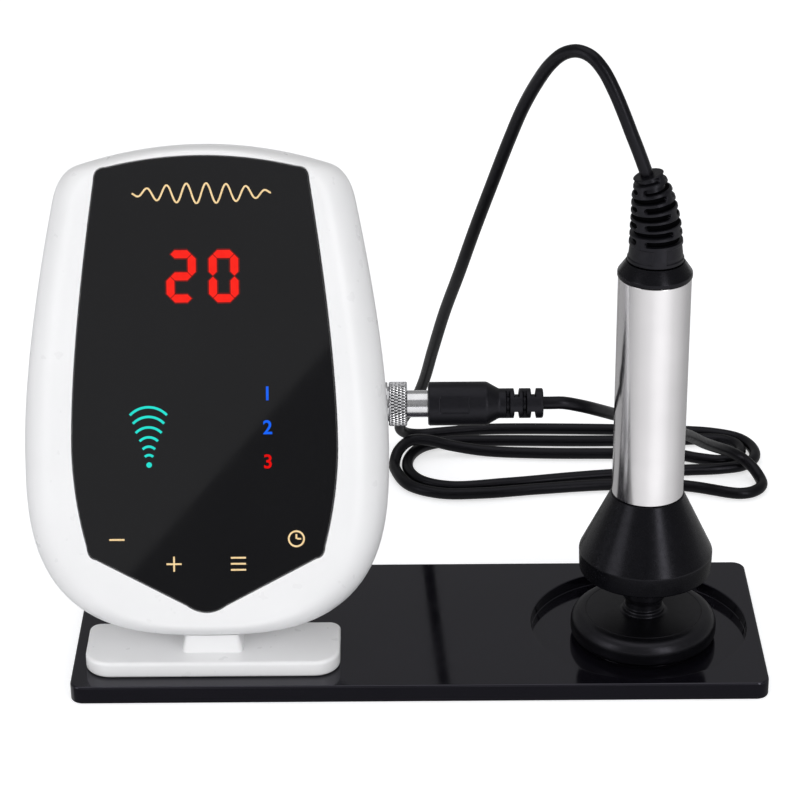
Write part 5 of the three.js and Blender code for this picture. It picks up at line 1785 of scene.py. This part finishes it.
@dataclass
class BackFittings:
    """Inlet, rocker switch and screws in the console's back."""

    casing: Casing
    covers: Covers
    flange: Flat = (6.8, 1.2)  # radius and thickness
    barrel: Flat = (5.4, 12.0)  # radius and length
    bore: Flat = (3.2, 9.5)  # radius and depth
    pin: Flat = (1.0, 1.5)  # radius, and how far it stays below the mouth
    pin_root: float = 0.2
    bezel_half: Flat = (7.5, 10.5)
    bezel: float = 1.5
    bezel_radius: float = 1.2
    bezel_ease: float = 0.6
    body_half: Flat = (6.5, 9.5)
    body_deep: float = 11.0
    body_radius: float = 0.5
    well_half: Flat = (5.7, 8.5)
    well_deep: float = 8.6
    lug: Place = (2.4, 4.0, 0.4)  # half its width, its length and half its thickness
    lug_height: float = 5.0
    key_profile: tuple[Corner, ...] = (
        (-7.3, 3.4, 0.7), (0, 2.2, 14), (7.3, 3.4, 0.7), (7.3, -1, 0.5), (3, -5, 1), (-3, -5, 1),
        (-7.3, -1, 0.5),
    )  # upwards, out of the well, and rounding
    key_half: float = 5.3
    key_ease: float = 0.4
    pivot: float = -3.0
    tilt: float = 10.0  # degrees
    ring_mark: Flat = (1.35, 0.95)  # outer and inner radius
    bar_mark: float = 0.22  # half its width
    mark_place: Flat = (4.3, 2.93)  # up or down from the key's middle, and out
    mark_height: float = 0.05
    screw_head: Flat = (2.8, 1.8)  # radius and height
    shank: float = 1.4
    shank_long: Flat = (13.3, 10.0)  # of the casing's screws and the stand's
    recess: Place = (1.6, 0.32, 1.1)  # half length, half width and depth of the cross

    def inlet(self) -> None:
        """Makes the low-voltage inlet."""
        flange, thick = self.flange
        barrel, long = self.barrel
        bore, deep = self.bore
        radius, below = self.pin
        seat = self.casing.depth + SEAT_GAP
        mouth = seat + thick
        floor = mouth - deep
        profile = rounded([
            (0, floor, 0), (bore, floor, 0), (bore, mouth, 0.3), (flange, mouth, 0.5),
            (flange, seat, 0.1), (barrel, seat, 0), (barrel, seat - long, 0.3), (0, seat - long, 0),
        ], steps=5, closed=False)
        root, tip = floor - self.pin_root, mouth - below
        pin = rounded([(0, root, 0), (radius, root, 0), (radius, tip, 0.45), (0, tip, 0)], closed=False)
        x, z = self.covers.inlet
        turn = Matrix.Translation((x, 0, z)) @ Matrix.Rotation(-math.pi / 2, 4, "X")
        at = self.casing.matrix() @ turn
        body = revolved(profile, segments=64)
        piece("inlet_body", body, SatinBlackAbs(), Body.CONSOLE, ("power_inlet",), at)
        piece("inlet_pin", revolved(pin, segments=32), BrightNickel(), Body.CONSOLE, placed=at)

    def plan(self, half: Flat, radius: float) -> list[Flat]:
        """Gives a rounded rectangle at the switch's place."""
        x, z = self.covers.switch
        return rounded(rectangle(x - half[0], x + half[0], z - half[1], z + half[1], radius))

    def switch(self) -> None:
        """Makes the switch's frame and its rocking key with plain on and off marks."""
        seat = self.casing.depth + SEAT_GAP
        front, back = seat + self.bezel, seat - self.body_deep
        x, z = self.covers.switch
        corners = self.plan(self.bezel_half, self.bezel_radius)
        rings = [[(px, seat, pz) for px, pz in corners]]
        for inward, down in quarter_round(5):
            narrowed = drawn_in(corners, self.bezel_ease * inward)
            rings.append([(px, front - self.bezel_ease * down, pz) for px, pz in narrowed])
        body = prism(self.plan(self.body_half, self.body_radius), back, seat + self.body_radius)
        wide, long, thick = self.lug
        lugs = [
            box((x - wide, back - long, height - thick), (x + wide, back + OVERCUT, height + thick))
            for height in (z - self.lug_height, z + self.lug_height)
        ]
        well = prism(self.plan(self.well_half, self.body_radius), seat - self.well_deep, front + OVERCUT)
        tools = [(Operation.JOIN, form) for form in (body, *lugs)]
        surround = worked(skinned(rings), [*tools, (Operation.CUT, well)])
        at = self.casing.matrix()
        piece("switch_surround", surround, SatinBlackAbs(), Body.CONSOLE, ("switch_frame",), at)
        turn = Matrix.Rotation(-math.radians(self.tilt), 4, "X")
        self.key(at @ Matrix.Translation((x, seat + self.pivot, z)) @ turn)

    def key(self, at: Matrix) -> None:
        """Makes the rocking key, whose pivot lies at a place, with its marks."""
        profile = rounded(self.key_profile, steps=8)[::-1]
        half, ease = self.key_half, self.key_ease
        rings = []
        for across, inset in ((-half, ease), (ease - half, 0.0), (half - ease, 0.0), (half, ease)):
            rings.append([(across, out - self.pivot, up) for up, out in drawn_in(profile, inset)])
        piece("switch_key", skinned(rings), SatinBlackAbs(), Body.ROCKER, ("power_rocker",), at)
        (end, high, _), (_, low, _) = self.key_profile[2], self.key_profile[1]
        slope = math.atan2(high - low, end)
        outer, inner = self.ring_mark
        ring = circle(0, 0, outer, 32)
        ring.append(ring[0])
        ring += [(px * inner / outer, pz * inner / outer) for px, pz in reversed(ring)]
        bar = [(px, pz) for px, pz, _ in rectangle(-self.bar_mark, self.bar_mark, -outer, outer)]
        up, out = self.mark_place
        for name, shape, height, turn in (("off_mark", ring, up, -slope), ("on_mark", bar, -up, slope)):
            place = Matrix.Translation((0, out - self.pivot, height)) @ Matrix.Rotation(turn, 4, "X")
            mark = prism(shape, 0, self.mark_height)
            piece(name, mark, WhiteInk(), Body.ROCKER, placed=at @ place)

    def screw(self, name: str, x: float, z: float, top: float, length: float) -> None:
        """Makes a cross-recessed pan-head screw that points to lower y."""
        radius, tall = self.screw_head
        seat = top - tall
        profile = rounded([
            (0, seat - length, 0), (self.shank, seat - length, 0.4), (self.shank, seat, 0.1),
            (radius, seat, 0.15), (radius, top, 0.9), (0, top, 0),
        ], closed=False)
        long, wide, deep = self.recess
        halves = ((long, wide), (wide, long))
        blades = [box((-px, -py, top - deep), (px, py, top + OVERCUT)) for px, py in halves]
        mesh = worked(revolved(profile, segments=48), [(Operation.CUT, blade) for blade in blades])
        at = self.casing.matrix() @ Matrix.Translation((x, 0, z)) @ Matrix.Rotation(-math.pi / 2, 4, "X")
        piece(f"{name}_detailed", mesh, BrightNickel(), Body.CONSOLE, (name,), at)

    def build(self) -> None:
        """Makes the fittings."""
        self.inlet()
        self.switch()
        above = SEAT_GAP + self.screw_head[1]
        case_shank, stand_shank = self.shank_long
        for number, (x, z) in enumerate(self.covers.screw_places, 1):
            self.screw(f"case_screw_{number}", x, z, self.covers.counterbore + above, case_shank)
        height = self.covers.stand_screw_height
        self.screw("stand_screw", 0, height, self.covers.stand_floor + above, stand_shank)


# Connector


@dataclass
class Connector:
    """The metal socket in the console's side and the plug that locks into it."""

    casing: Casing
    covers: Covers
    collar: Place = (7.6, 60.4, 62.3)  # radius, start and end
    bushing: Flat = (6.1, 66.1)
    socket_start: float = 46.0
    socket_bore: float = 5.0
    socket_floor: float = 1.6
    notch_half: float = 1.3
    notch_count: int = 4
    notch_turn: float = 70.0  # degrees
    notch_clear: float = 0.2
    ring_start: float = 62.7
    ring_end: float = 69.1
    ring_radius: float = 7.7
    ring_bore: float = 6.5
    ring_lip: Flat = (5.0, 1.2)
    knurl_count: int = 44
    knurl_pitch: float = 2.5
    knurl_depth: float = 0.34
    knurl_margin: float = 0.4
    knurl_flank: float = 1.8  # how steeply its grooves rise to the flat tops
    knurl_fine: tuple[int, int] = (8, 12)  # faces round a diamond and along it
    groove_share: float = 0.85  # of the ridges' rise below which the grooves get the painted shade
    ring_ease: float = 0.35
    barrel: Flat = (4.1, 4.7)
    barrel_start: float = 50.0
    barrel_end: float = 84.0
    stop: Place = (5.8, 66.6, 67.5)
    body_start: float = 76.3
    body_radius: float = 7.6
    body_end: float = 96.6
    taper_end: float = 100.8
    tail_radius: float = 5.2
    tail_end: float = 116.2
    patch: Place = (80.4, 90.6, 3.0)  # start, end and half its height
    patch_depth: float = 0.35
    patch_slope: float = 0.25  # width of the slope at its edge
    side_slots: tuple[Flat, ...] = ((103.4, 104.6), (109.2, 110.4))
    level_slots: tuple[Flat, ...] = ((106.2, 107.7), (112.0, 113.5))
    slot_depth: float = 2.1
    slot_slope: float = 0.24
    slot_half_angle: float = 58.0  # degrees
    tail_bore: float = 2.4
    fine_step: float = 0.2  # along the moulding's outline

    def matrix(self) -> Matrix:
        """Gives the connector's frame, whose z runs along the console's x."""
        place = Matrix.Translation((0, self.covers.socket_depth, self.covers.socket_height))
        return self.casing.matrix() @ place @ Matrix.Rotation(math.pi / 2, 4, "Y")

    def socket(self) -> None:
        """Makes the socket with its slotted collar."""
        radius, start, end = self.collar
        bush, bush_end = self.bushing
        back, bore = self.socket_start, self.socket_bore
        floor = back + self.socket_floor
        profile = rounded([
            (0, back, 0), (bush, back, 0.3), (bush, start, 0), (radius, start, 0.2),
            (radius, end, 0.35), (bush, end, 0), (bush, bush_end, 0.3), (bore, bush_end, 0.2),
            (bore, floor, 0), (0, floor, 0),
        ], steps=5, closed=False)
        notches = []
        for k in range(self.notch_count):
            notch = box((bush + self.notch_clear, -self.notch_half, start - OVERCUT),
                        (radius + OVERCUT, self.notch_half, end + OVERCUT))
            turn = math.tau * k / self.notch_count + math.radians(self.notch_turn)
            notch.transform(Matrix.Rotation(turn, 4, "Z"))
            notches.append((Operation.CUT, notch))
        mesh = worked(revolved(profile), notches)
        piece("socket_collar", mesh, BrightNickel(), Body.CONSOLE, ("handset_socket",), self.matrix())

    def ridges(self, angle: float, height: float) -> list[float]:
        """Gives how far up the ridges of the knurl's two crossing sets of grooves a place is, 0 to 1."""
        around = angle * self.knurl_count / math.tau
        along = (height - self.ring_start) / self.knurl_pitch
        return [1 - abs(2 * ((around + side * along) % 1) - 1) for side in (1, -1)]

    def knurl(self, radius: float, angle: float, height: float) -> float:
        """Gives how deep the diamond knurl cuts the ring at a place."""
        edge = min(height - self.ring_start, self.ring_end - height) - self.knurl_margin
        if radius < self.ring_radius - TINY or edge < 0:
            return 0.0
        return self.knurl_depth * (1 - min(1.0, min(self.ridges(angle, height)) * self.knurl_flank))

    def ring(self) -> None:
        """Makes the knurled ring that locks the plug."""
        radius, bore, start, end = self.ring_radius, self.ring_bore, self.ring_start, self.ring_end
        low, high = start + self.ring_ease, end - self.ring_ease
        lip_bore, lip = self.ring_lip
        around, along = self.knurl_fine
        profile = [
            (bore, start), (radius - self.ring_ease, start),
            *finely([(radius, low), (radius, high)], self.knurl_pitch / along),
            (radius - self.ring_ease, end), (lip_bore, end), (lip_bore, end - lip), (bore, end - lip),
        ]
        mesh = revolved(profile, self.knurl_count * around, self.knurl)
        # Faces low in the grooves get the darker nickel: painted shade.
        for face in mesh.faces:
            x, y, height = face.calc_center_median()
            if low < height < high and math.hypot(x, y) > (bore + radius) / 2:
                rise = sum(self.ridges(math.atan2(y, x), height))
                face.material_index = int(rise < self.groove_share)
        made = piece("knurled_ring", mesh, BrightNickel(), Body.RING, ("coupling_ring",), self.matrix(),
                     crease=50)
        made.data.materials.append(GrooveNickel().material())

    def shell(self) -> None:
        """Makes the plug's metal barrel, which shows between ring and moulding."""
        inner, outer = self.barrel
        stop, stop_start, stop_end = self.stop
        profile = rounded([
            (inner, self.barrel_start, 0), (outer, self.barrel_start, 0.2), (outer, stop_start, 0),
            (stop, stop_start, 0.15), (stop, stop_end, 0.15), (outer, stop_end, 0),
            (outer, self.barrel_end, 0.1), (inner, self.barrel_end, 0),
        ], steps=4)
        mesh = revolved(profile)
        piece("plug_barrel", mesh, BrightNickel(), Body.PLUG, ("plug_shell",), self.matrix())

    def moulding_cut(self, radius: float, angle: float, height: float) -> float:
        """Gives how deep the grip patch and the tail's slots cut the moulding at a place."""
        world = angle - math.pi / 2  # the moulding's x points down once it lies along the console's x
        facing = abs(math.remainder(world, math.pi))  # from the horizontal plane
        if height < self.taper_end:
            if radius <= self.tail_radius:
                return 0.0
            start, end, half = self.patch
            away = abs(math.remainder(angle + math.pi / 2, math.tau)) * radius
            inside = min(height - start, end - height, half - away, self.patch_slope)
            return self.patch_depth * max(0.0, inside) / self.patch_slope
        deep = 0.0
        half_angle = math.radians(self.slot_half_angle)
        for slots, centre in ((self.side_slots, 0.0), (self.level_slots, math.pi / 2)):
            away = abs(facing - centre)
            for start, end in slots:
                inside = min(height - start, end - height, (half_angle - away) * radius)
                share = min(1.0, inside / self.slot_slope + 0.5)
                deep = max(deep, self.slot_depth * share)
        return deep if radius > (self.tail_bore + self.tail_radius) / 2 else 0.0

    def moulding(self) -> None:
        """Makes the plug's moulded body with its slotted tail."""
        start, end = self.body_start, self.tail_end
        bore, floor = self.barrel[1] + SEAT_GAP, self.barrel_end + SEAT_GAP
        outer = finely(rounded([
            (bore, start, 0), (self.body_radius, start, 0.8), (self.body_radius, self.body_end, 2.2),
            (self.tail_radius, self.taper_end, 2.2), (self.tail_radius, end, 0.7),
            (self.tail_bore, end, 0),
        ], steps=8, closed=False), self.fine_step)
        profile = [(0, floor), (bore, floor), *outer, (0, end)]
        mesh = revolved(profile, segments=144, cut=self.moulding_cut)
        piece("plug_grip", mesh, MouldedTpe(), Body.PLUG, ("plug_overmould",), self.matrix(), crease=45)

    def build(self) -> None:
        """Makes the socket and the plug."""
        self.socket()
        self.ring()
        self.shell()
        self.moulding()


# Handset


@dataclass
class Handset:
    """The steel handle with its black ends, cable boot and mushroom-shaped electrode head."""

    axis: Flat = (80.0, -1.3)
    boot_bottom: float = 147.3
    boot_tall: float = 30.5
    boot_radius: float = 9.6
    boot_lean: float = 3.4
    boot_bend: float = 2.5  # power of the height by which it leans
    boot_stem: Flat = (4.7, 11.0)
    boot_bore: float = 2.2
    fine_step: float = 0.22  # along the boot's outline
    segments: int = 160
    boot_shares: tuple[Corner, ...] = (
        (0, 1, 0.4), (0.09, 1, 2.0), (0.22, 0.95, 4.0), (0.43, 0.895, 4.0), (0.66, 0.795, 4.0),
        (0.8, 0.707, 4.0), (0.9, 0.59, 4.0), (1, 0.53, 0.8),
    )  # its outline as shares of its height and of its radius, with each corner's rounding
    slot_rows: int = 8
    slot_first: float = 7.6
    slot_pitch: float = 2.96
    slot_tall: float = 1.7
    slot_half_angle: float = 77.5  # degrees
    slot_turn: float = 140.0  # degrees by which the first row's middle is turned
    slot_depth: float = 1.8
    slot_slope: float = 0.3  # width of the slope at its edge
    panel_heights: Flat = (1.2, 6.3)
    panel_sweeps: tuple[Flat, ...] = ((18.0, 138.0), (-130.0, -10.0))  # degrees from the front
    panel_depth: float = 0.45
    panel_slope: float = 0.25
    # Profiles of radius, height and rounding
    tube: tuple[Corner, ...] = (
        (11.05, 59.7, 0), (12.45, 59.7, 0.25), (12.45, 141.3, 0.25), (11.05, 141.3, 0),
    )
    cap: tuple[Corner, ...] = (
        (5, 132.8, 0), (10.75, 132.8, 0), (10.75, 141.6, 0), (12.75, 141.6, 0.2), (12.75, 143, 0.9),
        (9.95, 147, 0.3), (5, 147, 0),
    )
    skirt: tuple[Corner, ...] = (
        (8.65, 29.5, 0), (23.2, 29.5, 0.8), (23.44, 37, 1.6), (12.7, 59.4, 0.5), (10.75, 59.4, 0),
        (10.75, 70, 0), (5, 70, 0), (5, 46, 0), (8.65, 46, 0),
    )
    head: tuple[Corner, ...] = (
        (0, 4, 0), (22.7, 4, 0), (22.7, 3.1, 0), (25.8, 3.1, 2.5), (25.8, 12.0, 4.6),
        (20.6, 12.2, 0.05), (20.48, 12.06, 0.05), (20.36, 12.2, 0.05), (8.5, 12.2, 0.7),
        (7.4, 12.5, 0.5), (7.4, 14.0, 0.7), (6.5, 14.5, 0.4), (6.5, 16.8, 0.8), (7.9, 19.0, 1.0),
        (8.0, 26, 0.5), (8.25, 28, 0.5), (8.25, 36, 0.3), (4.2, 36, 0), (4.2, 27.7, 0), (0, 27.7, 0),
    )
    disc: tuple[Corner, ...] = ((0, 2.5, 0), (22.4, 2.5, 0.3), (22.4, 3.7, 0.2), (0, 3.7, 0))

    def matrix(self) -> Matrix:
        """Gives the handset's frame."""
        return Matrix.Translation((*self.axis, 0))

    def boot_cut(self, radius: float, angle: float, height: float) -> float:
        """Gives how deep the boot's rounded slots and its grip panels cut it at a place."""
        if radius < self.boot_radius / 2:
            return 0.0
        up = height - self.boot_bottom
        if up < self.slot_first - self.slot_slope / 2:
            ahead = math.degrees(math.remainder(angle + math.pi / 2, math.tau))
            level = min(up - self.panel_heights[0], self.panel_heights[1] - up)
            across = max(min(ahead - start, end - ahead) for start, end in self.panel_sweeps)
            inside = min(level, math.radians(across) * radius)
            return self.panel_depth * min(1.0, max(0.0, inside) / self.panel_slope)
        for row in range(self.slot_rows):
            middle = self.boot_bottom + self.slot_first + row * self.slot_pitch + self.slot_tall / 2
            off = abs(height - middle)
            if off > self.slot_tall:
                continue
            centre = math.radians(self.slot_turn + (row % 2) * 90)
            away = abs(math.remainder(angle - centre, math.pi)) - math.radians(self.slot_half_angle)
            past = max(0.0, away * radius + self.slot_tall / 2)
            share = (self.slot_tall / 2 - math.hypot(off, past)) / self.slot_slope + 0.5
            if share > 0:
                return self.slot_depth * min(1.0, share)
        return 0.0

    def boot(self) -> None:
        """Makes the cable boot, which leans to the cable's side."""
        bottom, tall = self.boot_bottom, self.boot_tall
        stem, stem_long = self.boot_stem
        corners = [
            (self.boot_radius * out, bottom + tall * up, radius) for up, out, radius in self.boot_shares
        ]
        line = rounded([
            (0, bottom - stem_long, 0), (stem, bottom - stem_long, 0.3), (stem, bottom, 0), *corners,
            (self.boot_bore, bottom + tall, 0), (0, bottom + tall, 0),
        ], steps=8, closed=False)
        mesh = revolved(finely(line, self.fine_step), self.segments, self.boot_cut)
        # Faces deep in the slots get the near-black elastomer: painted shade.
        for face in mesh.faces:
            x, y, height = face.calc_center_median()
            cut = self.boot_cut(math.hypot(x, y), math.atan2(y, x), height)
            face.material_index = int(cut > self.slot_depth / 2)
        for vert in mesh.verts:
            share = max(0.0, (vert.co.z - bottom) / tall)
            slope = self.boot_bend * self.boot_lean * share ** (self.boot_bend - 1) / tall
            lean = self.boot_lean * share ** self.boot_bend
            vert.co = (vert.co.x - lean, vert.co.y, vert.co.z + vert.co.x * slope)
        made = piece("cable_boot", mesh, MouldedTpe(), Body.HANDLE, ("strain_relief",), self.matrix(),
                     crease=50)
        made.data.materials.append(SlotTpe().material())

    def turned(self, name: str, corners: Sequence[Corner], finish: Finish, body: Body, node: str) -> None:
        """Makes a turned piece of the handset.

        Args:
            name: Its name.
            corners: Its profile, which is open where it starts and ends on the axis.
            finish: What it is made of.
            body: The body it rides on.
            node: The CAD node that it replaces.
        """
        mesh = revolved(rounded(corners, steps=8, closed=corners[0][0] > 0), self.segments)
        piece(name, mesh, finish, body, (node,), self.matrix())

    def build(self) -> None:
        """Makes the handset from its boot down to its head."""
        self.boot()
        self.turned("steel_tube", self.tube, PolishedStainless(), Body.HANDLE, "handle_tube")
        self.turned("end_cap", self.cap, SatinBlackAbs(), Body.HANDLE, "handle_collar")
        self.turned("flared_skirt", self.skirt, SatinBlackAbs(), Body.HANDLE, "head_cone")
        self.turned("mushroom_head", self.head, TexturedAbs(), Body.HEAD, "electrode_cap")
        self.turned("contact_disc", self.disc, PolishedStainless(), Body.HEAD, "electrode_face")


def dress_nodes() -> None:
    """Gives every CAD node that still shows the finish of its slot."""
    slot_of = {part["node"]: Slot(part["material_slot"]) for part in frame["record"]["subparts"]}
    for name, node in frame["nodes"].items():
        if node.hide_render or name not in slot_of:
            continue
        node.data.materials.clear()
        node.data.materials.append(FINISH_OF_SLOT[slot_of[name]].material())
        log.info("%s keeps its CAD shape in %s", name, slot_of[name].value)


def main() -> None:
    """Builds the scene in order: camera, cable, the object's sub-assemblies and the studio."""
    logging.basicConfig(level=logging.INFO, format="%(name)s: %(message)s")
    studio = Studio()
    studio.make_camera()
    Cable().build()
    Tray().build()
    casing = Casing()
    window = Window(casing)
    covers = Covers(casing, window)
    Foot(casing).build()
    window.build()
    covers.build()
    BackFittings(casing, covers).build()
    Connector(casing, covers).build()
    Handset().build()
    dress_nodes()
    studio.build()
    bpy.context.scene.view_settings.view_transform = "Standard"


if __name__ == "__main__":
    main()
